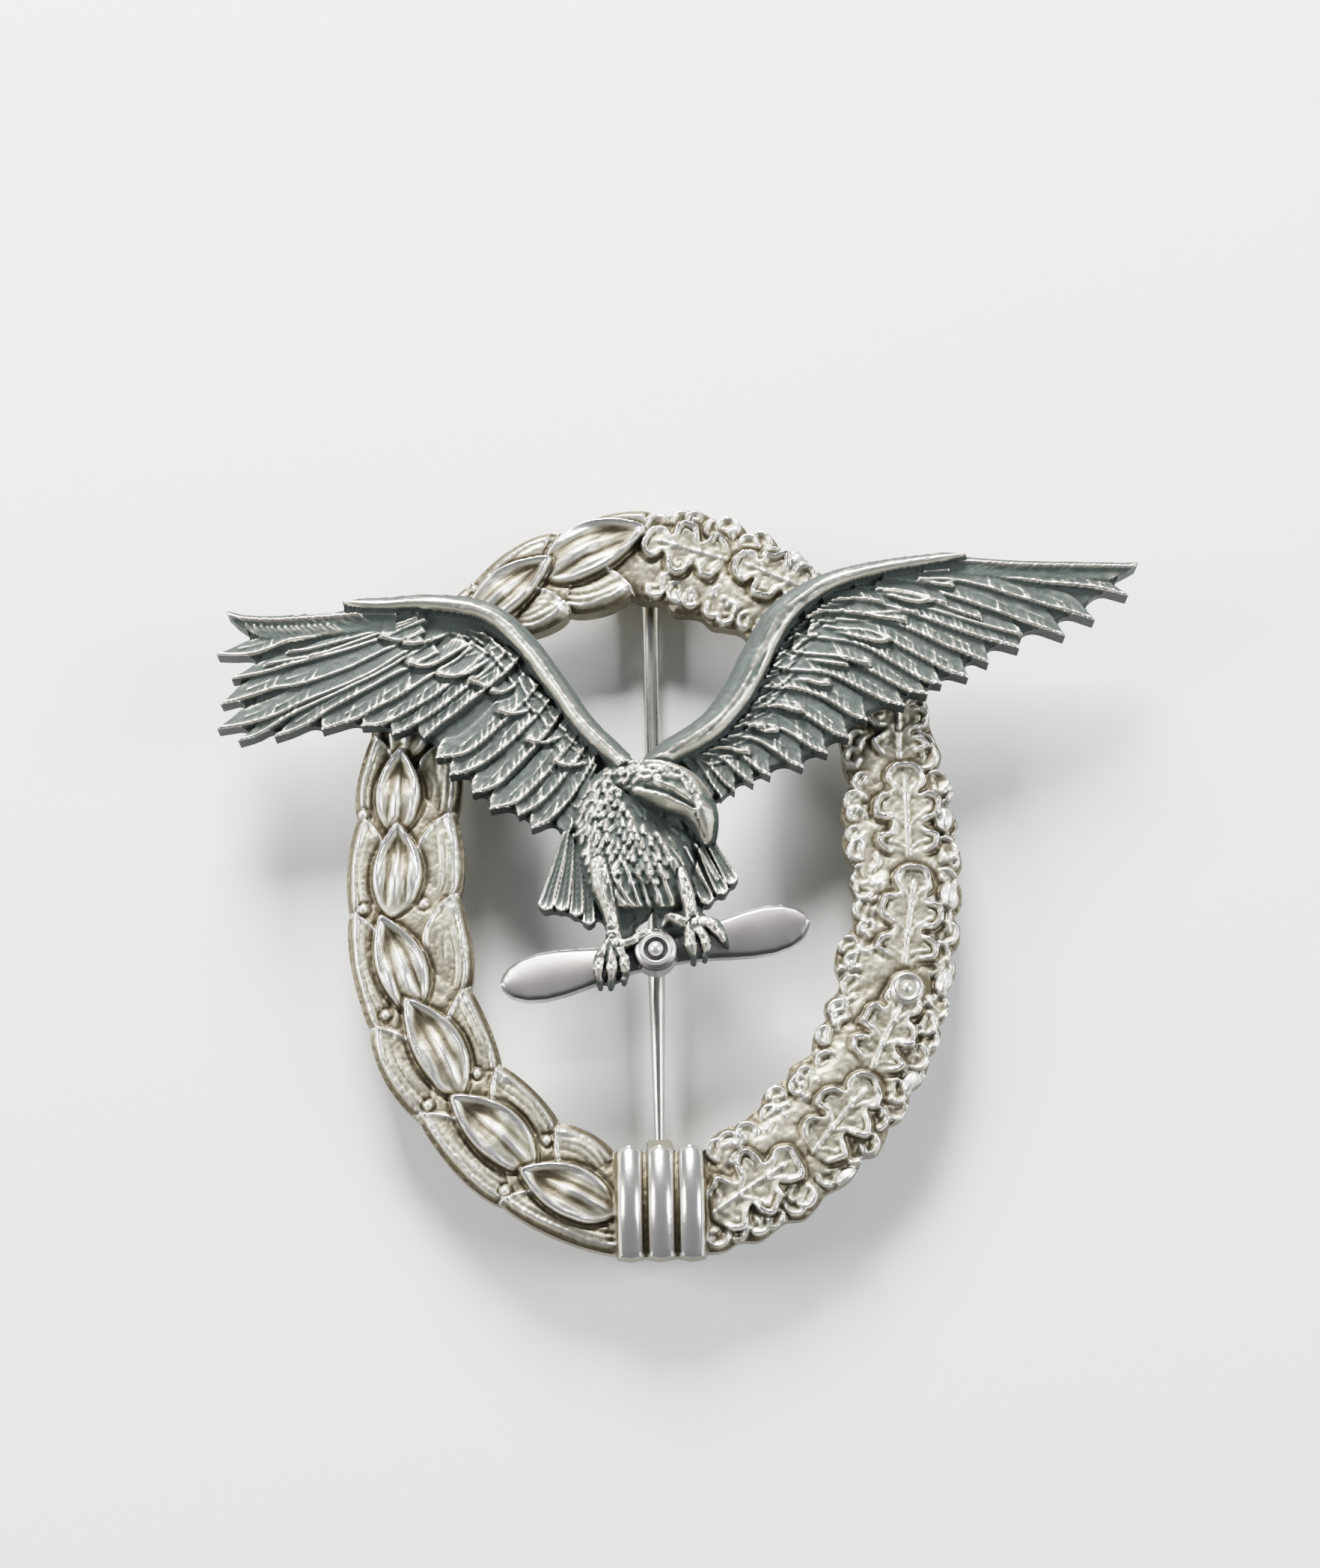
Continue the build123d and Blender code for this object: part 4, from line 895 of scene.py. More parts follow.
def covert(line, side, width, lift, seed=0, blob=0.11, trough=0.15):
    """The raised tip of a short feather: a bright crescent with a sharp drop under it."""
    P = spline(line, 0.25)
    w = E.near(P, width + 0.8)
    X, Y = E.X[w], E.Y[w]
    s, v, L = along(X, Y, P)
    v = v * side
    q = np.clip(s / L, 0, 1)
    p = np.clip((s + 0.08) / 0.35, 0, 1) ** 0.5 * (1 - q) ** 0.75
    up = np.exp(-(np.maximum(v, 0) / (0.62 * width)) ** 2) * smooth01((s + 0.1) / 0.2)
    a = smooth01(np.minimum(v + 0.07, s + 0.07) / 0.085 + 0.5)
    rim = 0.17 * np.exp(-((v - 0.05) / 0.11) ** 2) * np.clip(p, 0, 1) ** 0.5
    lump = blob * np.exp(-(((s - 0.32) / 0.34) ** 2 + ((v - 0.24) / 0.26) ** 2))
    ph = (s * 0.6 - v * 1.1) / 0.33
    rib = 0.03 * np.sin(2 * math.pi * ph) * up * smooth01((v - 0.1) / 0.2)
    flat = a * up * smooth01((1 - q) / 0.4)
    E.H[w] = E.H[w] * (1 - 0.35 * flat) + 0.35 * flat * 7.36
    E.H[w] += a * (0.72 * lift * p * up + rim + lump + rib)
    E.P[w] = np.maximum(E.P[w], a * (0.9 * np.exp(-((v - 0.04) / 0.12) ** 2) * np.clip(p * 1.3, 0, 1) + 0.6 * np.exp(-(((s - 0.30) / 0.30) ** 2 + ((v - 0.22) / 0.22) ** 2))) * smooth01((1 - q) / 0.3))
    below = (1 - a) * np.exp(-((np.minimum(v, 0) + 0.20) / 0.20) ** 2) * smooth01((s + 0.25) / 0.3) * smooth01((L * 0.8 - s) / 0.5)
    E.H[w] -= trough * below


LEFT_COV = [
    ([(612, 292), (640, 300), (685, 306), (740, 290)], 1.0, 0.42),
    ([(692, 318), (745, 320), (800, 300), (855, 270)], 1.1, 0.50),
    ([(702, 385), (745, 402), (800, 396), (880, 347), (945, 308)], 1.2, 0.50),
    ([(808, 432), (860, 442), (915, 430), (965, 398), (1005, 368)], 1.15, 0.48),
    ([(914, 458), (950, 468), (985, 478), (1010, 470)], 0.8, 0.55),
    ([(990, 495), (1030, 500), (1065, 485), (1095, 455)], 0.9, 0.5),
    ([(1014, 567), (1060, 580), (1110, 572), (1140, 550)], 0.9, 0.5),
    ([(1110, 672), (1150, 684), (1200, 680), (1245, 655)], 1.0, 0.5),
    ([(1205, 752), (1250, 768), (1300, 766), (1340, 748)], 0.9, 0.45),
]
RIGHT_COV = [
    ([(862, 258), (825, 262), (780, 254), (735, 238), (690, 228)], 0.9, 0.48),
    ([(782, 325), (740, 314), (690, 306), (640, 296), (590, 292)], 0.8, 0.42),
    ([(735, 382), (700, 388), (655, 378), (600, 362), (560, 352)], 1.0, 0.50),
    ([(668, 462), (630, 452), (585, 438), (540, 428)], 0.9, 0.42),
    ([(600, 462), (560, 455), (515, 446), (470, 438)], 0.8, 0.40),
    ([(545, 520), (510, 520), (475, 508), (440, 498)], 0.9, 0.46),
    ([(465, 608), (430, 606), (395, 594), (360, 585)], 0.9, 0.46),
    ([(380, 668), (345, 668), (310, 658), (275, 650)], 0.9, 0.46),
    ([(340, 655), (305, 650), (270, 642), (240, 640)], 0.6, 0.30),
    ([(295, 735), (262, 730), (230, 720), (200, 716)], 0.8, 0.40),
    ([(930, 210), (890, 205), (850, 196), (810, 192)], 0.7, 0.30),
]
for k, (line, wd, lift) in enumerate(LEFT_COV):
    covert(L_(line), 1.0, wd, lift, seed=k)
for k, (line, wd, lift) in enumerate(RIGHT_COV):
    covert(R_(line), -1.0, wd, lift, seed=k + 20)
# many fine, low lines between them
rng = np.random.RandomState(21)
for _ in range(60):
    x, y = -14.5 + 10.5 * rng.rand(), 6.0 + 11.5 * rng.rand()
    if abs(y - (16.6 - (x + 13) * 1.15)) < 4.0 and y < 17.4:
        a = math.radians(28 + 10 * rng.randn())
        ln = 0.7 + 0.7 * rng.rand()
        stroke([(x, y), (x + ln * math.cos(a) * 0.5, y + ln * math.sin(a) * 0.5 - 0.05), (x + ln * math.cos(a), y + ln * math.sin(a))], 0.10, 0.085, 0.2, polish_and_painted_light=0.5)
for _ in range(70):
    x, y = 3.0 + 13.0 * rng.rand(), 7.0 + 13.0 * rng.rand()
    if abs(y - (8.0 + (x - 3) * 0.95)) < 3.0 and y < 19.0:
        a = math.radians(-24 + 10 * rng.randn())
        ln = 0.7 + 0.7 * rng.rand()
        stroke([(x, y), (x + ln * math.cos(a) * 0.5, y + ln * math.sin(a) * 0.5 + 0.05), (x + ln * math.cos(a), y + ln * math.sin(a))], 0.10, 0.085, 0.2, polish_and_painted_light=0.5)

LEFT_EDGE = spline([(-0.8, 5.3), (-1.6, 6.2), (-2.2, 6.9), (-3.0, 7.75), (-3.95, 8.7), (-5.0, 10.0), (-6.0, 11.6), (-7.0, 13.1), (-8.0, 14.6), (-9.0, 15.9),
                    (-10.1, 17.0), (-11.2, 17.75), (-12.6, 18.25), (-14.5, 18.52), (-16.5, 18.62), (-18.7, 18.5), (-21.3, 18.62)], 0.3)
RIGHT_EDGE = spline([(-0.6, 5.9), (0.3, 6.8), (1.2, 7.5), (2.6, 8.3), (4.1, 9.4), (5.3, 10.8), (6.25, 12.3), (7.1, 14.0), (7.9, 15.6), (8.7, 16.9), (9.7, 18.0),
                     (10.9, 18.85), (12.5, 19.7), (14.6, 20.35), (17.0, 20.8), (19.5, 21.15), (22.0, 21.45)], 0.3)


def edge_dashes(edge, side, start, stop, step, off, length, lean, amp, sig, seed, trough=0.0):
    """Short feathers laid like braid along the inside of the wing's front edge."""
    rng = np.random.RandomState(seed)
    s_at = start
    while s_at < stop:
        p, t, L = at_length(edge, s_at)
        n_in = turned(t, 90 * side)
        p = p + n_in * (off + 0.10 * rng.randn())
        d = turned(t, side * (lean + 7 * rng.randn()))
        ln = length * (0.8 + 0.45 * rng.rand())
        m = p + d * ln * 0.5 + n_in * 0.05
        e = p + d * ln
        if trough:
            sh = n_in * 0.20
            w = E.near([tuple(p), tuple(e)], 0.6)
            s_, v_, L_2 = along(E.X[w], E.Y[w], [tuple(p + sh), tuple(e + sh)])
            o_ = np.maximum(np.maximum(-s_, s_ - L_2), 0)
            E.H[w] -= trough * np.exp(-(v_ * v_ + o_ * o_) / 0.14 ** 2)
        stroke([tuple(p), tuple(m), tuple(e)], amp * (0.75 + 0.4 * rng.rand()), sig, 0.45, polish_and_painted_light=0.55)
        s_at += step * (0.8 + 0.4 * rng.rand())


edge_dashes(LEFT_EDGE, 1.0, 5.2, 17.7, 1.55, 2.15, 1.25, -4, 0.24, 0.12, 3, trough=0.14)
edge_dashes(LEFT_EDGE, 1.0, 4.2, 16.7, 0.95, 1.30, 0.9, 8, 0.22, 0.11, 7, trough=0.10)
edge_dashes(RIGHT_EDGE, -1.0, 4.2, 19.2, 0.95, 2.05, 1.0, 22, 0.22, 0.11, 5, trough=0.10)
edge_dashes(RIGHT_EDGE, -1.0, 4.2, 19.7, 0.50, 1.30, 0.85, 30, 0.26, 0.10, 9, trough=0.08)

for path, widths, inner_side in ((LEFT_EDGE, ([0, 6, 12, 18, 22, 28], [0.68, 0.72, 0.76, 0.66, 0.50, 0.38]), 1.0),
                                 (RIGHT_EDGE, ([0, 6, 11, 15, 20, 28], [0.80, 0.95, 1.08, 0.95, 0.60, 0.36]), -1.0)):
    w = E.near(path, 1.8)
    X, Y = E.X[w], E.Y[w]
    s, v, L = along(X, Y, path)
    v = v * inner_side                                    # positive on the wing's side
    q = np.clip(s / L, 0, 1)
    half = np.interp(np.clip(s, 0, L), *widths)
    half = half * np.clip((L - s) / 1.6, 0, 1) ** 0.6
    sd = np.minimum(half - np.abs(v), np.minimum(s + 0.4, L - s))
    c0 = 0.22 * half
    dd = np.where(v > c0, (v - c0) / np.maximum(half - c0, 0.05), (c0 - v) / np.maximum(half + c0, 0.05))
    dd = np.clip(dd, 0, 1)
    tall = 1.15 - 0.55 * q
    h = 7.75 - 0.12 * q + tall * np.where(v > c0, np.sqrt(1 - dd ** 2), np.cos(dd * math.pi / 2) ** 0.9)
    h += 0.035 * noise2(s * 0.30, v * 3.2, 0.5, 31) + 0.02 * noise2(X, Y, 0.3, 32)
    # the narrow bright line along the crest is a painted highlight, and the darker band either side of it is painted
    # shade
    pol_and_painted_light = -0.15 - 1.5 * bell(v, c0, 0.55 * half) * (1 - 0.35 * q) + 1.25 * bell(v, c0, 0.17 * half) + 0.5 * noise2(s * 0.35, v * 2.6, 0.5, 33)
    E.over(w, h, sd, 0.10, cut=True, polish_and_painted_light=pol_and_painted_light)

# ---- tail
TAIL = [([(-4.5, -4.45), (-4.5, -2.8), (-4.7, -0.6), (-4.9, 1.6)], 0.85), ([(2.3, -3.0), (1.9, -1.6), (1.5, 0.0), (1.2, 1.6)], 0.9),
        ([(-5.35, -3.85), (-5.25, -2.4), (-5.25, -0.4), (-5.3, 1.8)], 0.95), ([(3.55, -3.15), (3.0, -1.7), (2.5, 0.0), (2.1, 1.8)], 1.0),
        ([(-6.4, -3.45), (-6.15, -2.2), (-5.85, -0.3), (-5.6, 1.9)], 1.05), ([(4.6, -2.5), (4.0, -1.3), (3.3, 0.3), (2.7, 1.8)], 0.95),
        ([(-7.45, -3.4), (-7.05, -2.0), (-6.5, -0.2), (-5.95, 2.0)], 1.0), ([(5.25, -1.8), (4.7, -0.7), (4.0, 0.6), (3.3, 2.0)], 0.95)]
for k, (line, wd) in enumerate(TAIL):
    P = spline(line, 0.4)
    w = E.near(P, 1.4)
    s, v, L = along(E.X[w], E.Y[w], P)
    half = wd * 0.5 * (1.05 - 0.55 * np.clip(s / L, 0, 1)) * np.clip(s / 0.35 + 0.5, 0, 1)
    sd = np.minimum(half - np.abs(v), np.minimum(s + 0.1, L - s))
    h = 7.10 + 0.03 * k + 0.25 * np.exp(-(s / 0.5) ** 2)
    h += 0.20 * bell(np.abs(v), half - 0.10, 0.09) + 0.10 * bell(v, 0, 0.09)
    h += 0.022 * np.sin((s * 0.9 - np.abs(v) * 1.6) / 0.40 * 2 * math.pi + 0.8 * noise2(s, v, 0.6, k)) * smooth01(s / 0.5)
    E.over(w, h, sd, 0.085, polish_and_painted_light=np.clip(0.65 * np.exp(-(s / 0.75) ** 2) + 0.55 * bell(np.abs(v), half - 0.10, 0.09), 0, 1))

# ---- trunk
BODY = [(-4.9, 4.6), (-5.45, 3.4), (-5.35, 1.6), (-5.0, -0.2), (-4.7, -1.6), (-4.1, -2.9), (-3.4, -3.9), (-2.4, -4.3), (-1.4, -4.1),
        (-0.2, -3.7), (0.8, -3.7), (1.6, -3.4), (2.3, -2.6), (2.6, -1.2), (3.0, 0.6), (3.4, 2.4), (3.6, 4.6),
        (2.8, 5.7), (1.2, 6.5), (-0.6, 6.9), (-2.6, 6.9), (-4.0, 6.0)]
w = E.near(BODY, 0.8)
X, Y = E.X[w], E.Y[w]
sd = polygon_sd(X, Y, spline(BODY + BODY[:1], 0.4))
d = np.clip(sd / 2.2, 0, 1)
h = 7.05 + 1.35 * np.sqrt(1 - (1 - d) ** 2) + 0.10 * noise2(X, Y, 1.3, 12) + 0.05 * noise2(X, Y, 0.4, 13)
h -= 0.95 * np.exp(-(((X - 0.9) / 1.7) ** 2 + ((Y - 2.6) / 1.3) ** 2))
h -= 0.55 * np.exp(-(((X - 2.4) / 0.9) ** 2 + ((Y - 0.2) / 2.2) ** 2))
h -= 0.60 * np.exp(-(((X + 0.8) / 1.1) ** 2 + ((Y + 2.5) / 1.3) ** 2))
keep = smooth01((Y - 4.6) / 1.2)
h = np.where(E.H[w] > h, h + (E.H[w] - h) * keep, h)
E.over(w, h, sd, 0.12)


def blobs(region, dx, dy, ln, wd, amp, flow, seed, polish_and_painted_light=0.5, keep=1.0):
    """Scale feathers: raised drops in staggered rows, turned with the body."""
    base = E.H.copy()
    rng = np.random.RandomState(seed)
    P = np.array(region, float)
    row, y = 0, P[:, 1].min()
    while y < P[:, 1].max():
        x = P[:, 0].min() + (dx / 2 if row % 2 else 0)
        while x < P[:, 0].max():
            px, py = x + 0.16 * dx * rng.randn(), y + 0.16 * dy * rng.randn()
            if rng.rand() < keep and polygon_sd(np.array([[px]]), np.array([[py]]), region)[0, 0] > 0.02:
                ang = math.radians(flow(px, py) + 15 * rng.randn())
                l_, w_ = ln * (0.75 + 0.5 * rng.rand()), wd * (0.75 + 0.45 * rng.rand())
                w = E.window(px - ln, py - ln, px + ln, py + ln)
                a = (E.X[w] - px) * math.cos(ang) + (E.Y[w] - py) * math.sin(ang)
                b = -(E.X[w] - px) * math.sin(ang) + (E.Y[w] - py) * math.cos(ang)
                q = np.clip(a / l_ + 0.5, 0, 1)
                half = 0.5 * w_ * np.sqrt(np.clip(1 - (2 * q - 1.15) ** 2 / 1.33, 0, 1))
                inside = np.clip(1 - (b / np.maximum(half, 0.03)) ** 2, 0, 1) * ((a > -0.5 * l_) & (a < 0.5 * l_))
                lift = amp * (0.8 + 0.4 * rng.rand()) * (0.45 + 0.55 * q)
                h = base[w] + lift * np.sqrt(inside)
                up = (inside > 0) & (h > E.H[w])
                E.H[w] = np.where(up, h, E.H[w])
                E.P[w] = np.where(up, polish_and_painted_light * inside, E.P[w])
            x += dx
        y += dy
        row += 1


def chest_flow(x, y):
    return -97 + 10 * (x + 2.5)


CHEST = [(-4.7, 5.2), (-5.2, 4.2), (-5.3, 2.4), (-4.95, 0.4), (-4.5, -1.4), (-3.9, -2.6), (-3.0, -2.2), (-2.6, -0.9), (-1.6, -0.6), (-0.9, -1.5),
         (-0.1, -1.9), (0.7, -1.6), (0.8, -0.3), (0.8, 0.7), (0.2, 1.5), (-0.7, 2.1), (-1.5, 2.9), (-2.1, 3.9), (-2.6, 4.8)]
blobs(CHEST, 0.54, 0.50, 0.86, 0.56, 0.32, chest_flow, 5, polish_and_painted_light=0.42)
blobs([(-2.4, -0.9), (-1.2, -1.0), (0.2, -2.0), (0.4, -3.0), (-0.8, -3.6), (-2.2, -3.4)], 0.7, 0.65, 0.8, 0.38, 0.16, chest_flow, 6, polish_and_painted_light=0.1, keep=0.7)
blobs([(-2.0, 3.4), (-0.8, 2.6), (0.4, 2.0), (0.9, 0.6), (2.2, -0.9), (3.0, 0.4), (3.1, 1.6), (2.2, 2.6), (1.2, 3.2), (-0.4, 3.8)],
      0.62, 0.55, 0.85, 0.36, 0.13, lambda x, y: -72, 16, polish_and_painted_light=0.16, keep=0.75)
# long plumes of the flank
for pts in ([(0.1, 1.5), (0.8, 0.8), (1.4, 0.1), (1.9, -0.6)], [(0.4, 0.8), (1.0, 0.0), (1.5, -1.0), (2.2, -2.2)],
            [(0.7, 0.1), (1.2, -0.9), (1.9, -2.1), (2.6, -2.9)], [(1.3, -0.4), (2.0, -1.4), (2.7, -2.5), (3.3, -3.0)],
            [(2.1, 0.6), (2.7, -0.5), (3.3, -1.7), (3.9, -2.4)], [(2.8, 0.9), (3.5, -0.3), (4.2, -1.5)],
            [(-3.4, -1.9), (-2.7, -2.6), (-1.9, -3.7)], [(-3.0, -1.3), (-2.3, -2.3), (-1.5, -3.4)], [(-3.9, -1.5), (-3.5, -2.7), (-3.3, -3.7)],
            [(-1.9, -0.9), (-1.5, -2.1), (-1.0, -3.3)], [(-1.1, -1.3), (-0.7, -2.4), (-0.4, -3.4)], [(-0.4, -1.4), (0.1, -2.5), (0.4, -3.4)], [(0.4, -1.2), (0.8, -2.3), (1.2, -3.3)]):
    P = [tuple(q) for q in spline(pts, 0.4)]
    stroke(P, 0.34, 0.16, 0.7, polish_and_painted_light=0.5)
# a bump on the thigh with a painted highlight on it
w = E.window(-4.4, -2.4, -2.8, -0.4)
E.H[w] += 0.30 * np.exp(-(((E.X[w] + 3.5) / 0.42) ** 2 + ((E.Y[w] + 1.35) / 0.62) ** 2))
E.P[w] = np.maximum(E.P[w], 0.8 * np.exp(-(((E.X[w] + 3.5) / 0.35) ** 2 + ((E.Y[w] + 1.35) / 0.5) ** 2)))


def limb(points, radii, z, bulge=0.6, cut=True, polish_and_painted_light=0.3, rough=0.0, seed=0):
    P = spline(points, 0.25)
    w = E.near(P, max(radii) + 0.6)
    X, Y = E.X[w], E.Y[w]
    s, v, L = along(X, Y, P)
    q = np.clip(s / L, 0, 1)
    r = np.interp(q, np.linspace(0, 1, len(radii)), radii)
    zz = np.interp(q, np.linspace(0, 1, len(z)), z)
    over = np.maximum(np.maximum(-s, s - L), 0)
    d = np.hypot(v, over) / r
    sd = (1 - d) * r
    h = zz + bulge * r * np.sqrt(np.clip(1 - d ** 2, 0, 1)) + rough * noise2(X, Y, 0.28, seed)
    E.over(w, h, sd, 0.09, cut=cut, polish_and_painted_light=polish_and_painted_light)


# web of metal behind the feet
WEB = [(-3.3, -3.6), (-3.2, -5.2), (-3.6, -6.4), (-2.0, -6.4), (-1.6, -5.2), (-1.6, -4.6), (-0.9, -4.2), (-0.2, -3.3), (0.1, -4.4),
       (0.2, -5.2), (1.2, -5.6), (2.4, -6.0), (3.6, -5.9), (4.2, -5.2), (3.8, -4.4), (2.9, -3.6), (2.2, -2.6), (-2.0, -2.6)]
w = E.near(WEB, 0.5)
sdw = polygon_sd(E.X[w], E.Y[w], WEB)
hw_ = np.where(E.Y[w] > -3.4, np.maximum(E.H[w], 7.15), 7.15) + 0.05 * noise2(E.X[w], E.Y[w], 0.4, 9)
aw = smooth01(sdw / 0.1 + 0.5) * smooth01((-3.3 - E.Y[w]) / 0.5)
E.H[w] = E.H[w] * (1 - aw) + hw_ * aw
E.M[w] = np.maximum(E.M[w], sdw)
limb([(-3.75, -0.6), (-3.45, -2.2), (-3.05, -3.8), (-2.85, -5.2), (-2.75, -6.0)], [0.62, 0.72, 0.52, 0.44, 0.55], [8.2, 8.15, 7.95, 7.85, 7.9], 0.8, polish_and_painted_light=0.45, rough=0.14, seed=62)
limb([(1.75, -1.2), (2.1, -2.6), (2.35, -3.7), (2.5, -4.7)], [0.40, 0.50, 0.46, 0.55], [8.1, 8.05, 7.95, 7.9], 0.8, polish_and_painted_light=0.45, rough=0.14, seed=66)
for pts in ([(-3.9, -1.0), (-3.7, -2.2), (-3.3, -3.4)], [(-3.3, -0.8), (-3.05, -2.0), (-2.75, -3.3)], [(-3.6, -2.2), (-3.2, -3.6), (-2.95, -4.8)],
            [(1.6, -1.4), (1.95, -2.6), (2.15, -3.9)], [(2.1, -1.6), (2.45, -2.8), (2.6, -4.0)]):
    stroke([tuple(q) for q in spline(pts, 0.3)], 0.22, 0.14, 0.6, polish_and_painted_light=0.7)
TOES = [
    ([(-2.9, -5.7), (-3.35, -6.3), (-3.75, -7.0), (-3.9, -7.7), (-3.8, -8.6)], [0.40, 0.34, 0.42, 0.34, 0.18]),
    ([(-2.8, -6.0), (-3.0, -6.9), (-3.0, -7.7), (-3.1, -8.6)], [0.44, 0.38, 0.42, 0.20]),
    ([(-2.7, -6.0), (-2.35, -6.7), (-2.15, -7.4), (-2.2, -8.3)], [0.40, 0.34, 0.38, 0.18]),
    ([(-2.7, -5.9), (-2.1, -6.0), (-1.5, -5.75), (-0.9, -5.4), (-0.4, -5.45), (-0.05, -5.95)], [0.38, 0.30, 0.30, 0.28, 0.28, 0.14]),
    ([(2.4, -4.6), (1.8, -4.6), (1.25, -4.3), (0.8, -4.25), (0.5, -4.6)], [0.40, 0.34, 0.34, 0.28, 0.16]),
    ([(2.4, -4.9), (2.25, -5.6), (2.35, -6.3), (2.5, -7.0)], [0.46, 0.40, 0.42, 0.20]),
    ([(2.6, -4.9), (3.05, -5.4), (3.3, -6.0), (3.25, -6.8)], [0.40, 0.36, 0.38, 0.20]),
    ([(2.6, -4.6), (3.25, -4.6), (3.9, -4.9), (4.35, -5.5), (4.75, -6.2)], [0.38, 0.42, 0.46, 0.34, 0.15]),
]
for k, (pts, rr) in enumerate(TOES):
    zz = [7.95] + [8.0] * (len(rr) - 2) + [7.6]
    limb(pts, rr, zz, 0.95, polish_and_painted_light=0.50, rough=0.13, seed=70 + k)
    P = spline(pts, 0.25)
    LL = at_length(P, 1e9)[2]
    # two bumps on each toe, each with a painted highlight
    for q, dz in ((0.38 * LL, 0.16), (0.72 * LL, 0.14)):
        p, t, _ = at_length(P, q)
        w = E.window(p[0] - 1, p[1] - 1, p[0] + 1, p[1] + 1)
        f = np.exp(-(((E.X[w] - p[0]) ** 2 + (E.Y[w] - p[1]) ** 2) / 0.26 ** 2))
        E.H[w] += dz * f
        E.P[w] = np.maximum(E.P[w], 0.8 * f)

# ---- neck and head
HEAD = [(-2.9, 5.9), (-1.9, 6.45), (-0.9, 6.65), (0.2, 6.65), (1.3, 6.42), (2.4, 5.95), (3.25, 5.2), (3.95, 4.25), (4.3, 3.2), (4.38, 2.3),
        (4.2, 1.5), (3.92, 1.0), (3.55, 0.72), (3.2, 0.95), (2.9, 1.5), (2.6, 2.05), (2.15, 2.5), (1.5, 2.8), (0.7, 3.1), (-0.2, 3.5), (-1.1, 3.95), (-1.9, 4.4), (-2.7, 5.0)]
w = E.near(HEAD, 0.6)
X, Y = E.X[w], E.Y[w]
sd = polygon_sd(X, Y, spline(HEAD + HEAD[:1], 0.35))
d = np.clip(sd / 1.15, 0, 1)
low = np.interp(X, [-3.0, -1.5, 0.5, 3.0, 4.2], [7.9, 8.05, 8.25, 8.2, 7.7])
low = low - 0.9 * smooth01((2.4 - Y) / 1.8)
rise = np.interp(X, [-3.0, -1.5, 0.5, 3.0, 4.2], [0.6, 1.0, 1.3, 1.35, 1.2])
h = low + rise * np.sqrt(1 - (1 - d) ** 2) + 0.05 * noise2(X, Y, 0.45, 15) + 0.03 * noise2(X, Y, 0.22, 17)
# the head's smooth skin gets painted shade, and the drooping beak at the lower right gets more painted shade
E.over(w, h, sd, 0.10, cut=True, polish_and_painted_light=-1.15 - 0.35 * smooth01((2.6 - Y) / 1.0) * smooth01((X - 2.3) / 0.6) + 0.35 * noise2(X, Y, 0.5, 19))


def head_flow(x, y):
    return float(np.interp(x, [-4.5, -3.0, -1.5, 0.0, 1.6, 3.2], [255, 228, 205, 186, 160, 122]))


blobs([(-4.6, 4.6), (-3.6, 5.6), (-2.4, 6.2), (-1.0, 6.35), (0.4, 6.3), (1.6, 5.95), (2.6, 5.2), (3.3, 4.3), (3.0, 3.8), (2.4, 4.1), (1.6, 4.6), (0.8, 4.95), (-0.3, 5.0), (-1.3, 4.8), (-2.0, 4.5), (-3.0, 4.4), (-4.0, 4.0)],
      0.52, 0.44, 0.74, 0.46, 0.22, head_flow, 8, polish_and_painted_light=0.42)
blobs([(-3.4, 6.9), (-2.6, 6.6), (-1.4, 6.7), (-0.4, 6.9), (0.0, 6.3), (-1.4, 5.9), (-2.6, 5.5), (-3.6, 5.9)], 0.6, 0.5, 0.8, 0.48, 0.22, lambda x, y: 215, 18, polish_and_painted_light=0.42)
stroke([tuple(q) for q in spline([(-2.6, 6.15), (-1.4, 6.5), (-0.2, 6.55), (0.8, 6.3), (1.6, 5.8), (2.1, 5.3)], 0.3)], 0.26, 0.13, 0.6, polish_and_painted_light=0.7)
stroke([tuple(q) for q in spline([(-1.2, 4.32), (-0.4, 4.1), (0.5, 3.78), (1.4, 3.36), (2.2, 2.95), (2.6, 2.75)], 0.3)], 0.36, 0.23, 0.8, polish_and_painted_light=0.95)
stroke([tuple(q) for q in spline([(0.2, 4.78), (1.0, 4.5), (1.7, 4.1), (2.3, 3.62)], 0.3)], 0.28, 0.14, 0.7, polish_and_painted_light=0.85)
stroke([tuple(q) for q in spline([(-0.5, 4.52), (0.4, 4.24), (1.3, 3.86), (2.1, 3.38), (2.7, 2.98)], 0.3)], -0.34, 0.12, 0.8)
w = E.window(2.2, 2.2, 4.2, 4.4)
E.H[w] += 0.34 * np.exp(-(((E.X[w] - 3.35) / 0.45) ** 2 + ((E.Y[w] - 2.95) / 0.5) ** 2))
# a painted highlight on the bump at the side of the head
f = np.exp(-(((E.X[w] - 3.35) / 0.34) ** 2 + ((E.Y[w] - 3.0) / 0.40) ** 2))
E.P[w] = E.P[w] * (1 - f) + 1.0 * f
stroke([tuple(q) for q in spline([(2.75, 2.6), (3.0, 2.1), (3.2, 1.6), (3.45, 1.2)], 0.3)], -0.20, 0.12, 0.8)
stroke([tuple(q) for q in spline([(3.85, 2.9), (3.95, 2.2), (3.85, 1.5), (3.6, 1.0)], 0.3)], 0.12, 0.2, 0.8, polish_and_painted_light=0.35)

# metal left standing in the narrow corners of the outline
E.M = np.maximum(E.M, (blur((E.M > 0).astype(float), 0.42, E.step) - 0.5) * 1.2)

# hole between the legs
w = E.window(-2.2, -5.6, 0.8, -2.8)
hole = polygon_sd(E.X[w], E.Y[w], [(-1.55, -4.85), (-1.1, -4.3), (-0.55, -3.95), (-0.2, -3.35), (-0.05, -3.7), (-0.15, -4.3), (-0.05, -4.6), (-0.7, -4.75)])
E.M[w] = np.minimum(E.M[w], -hole)

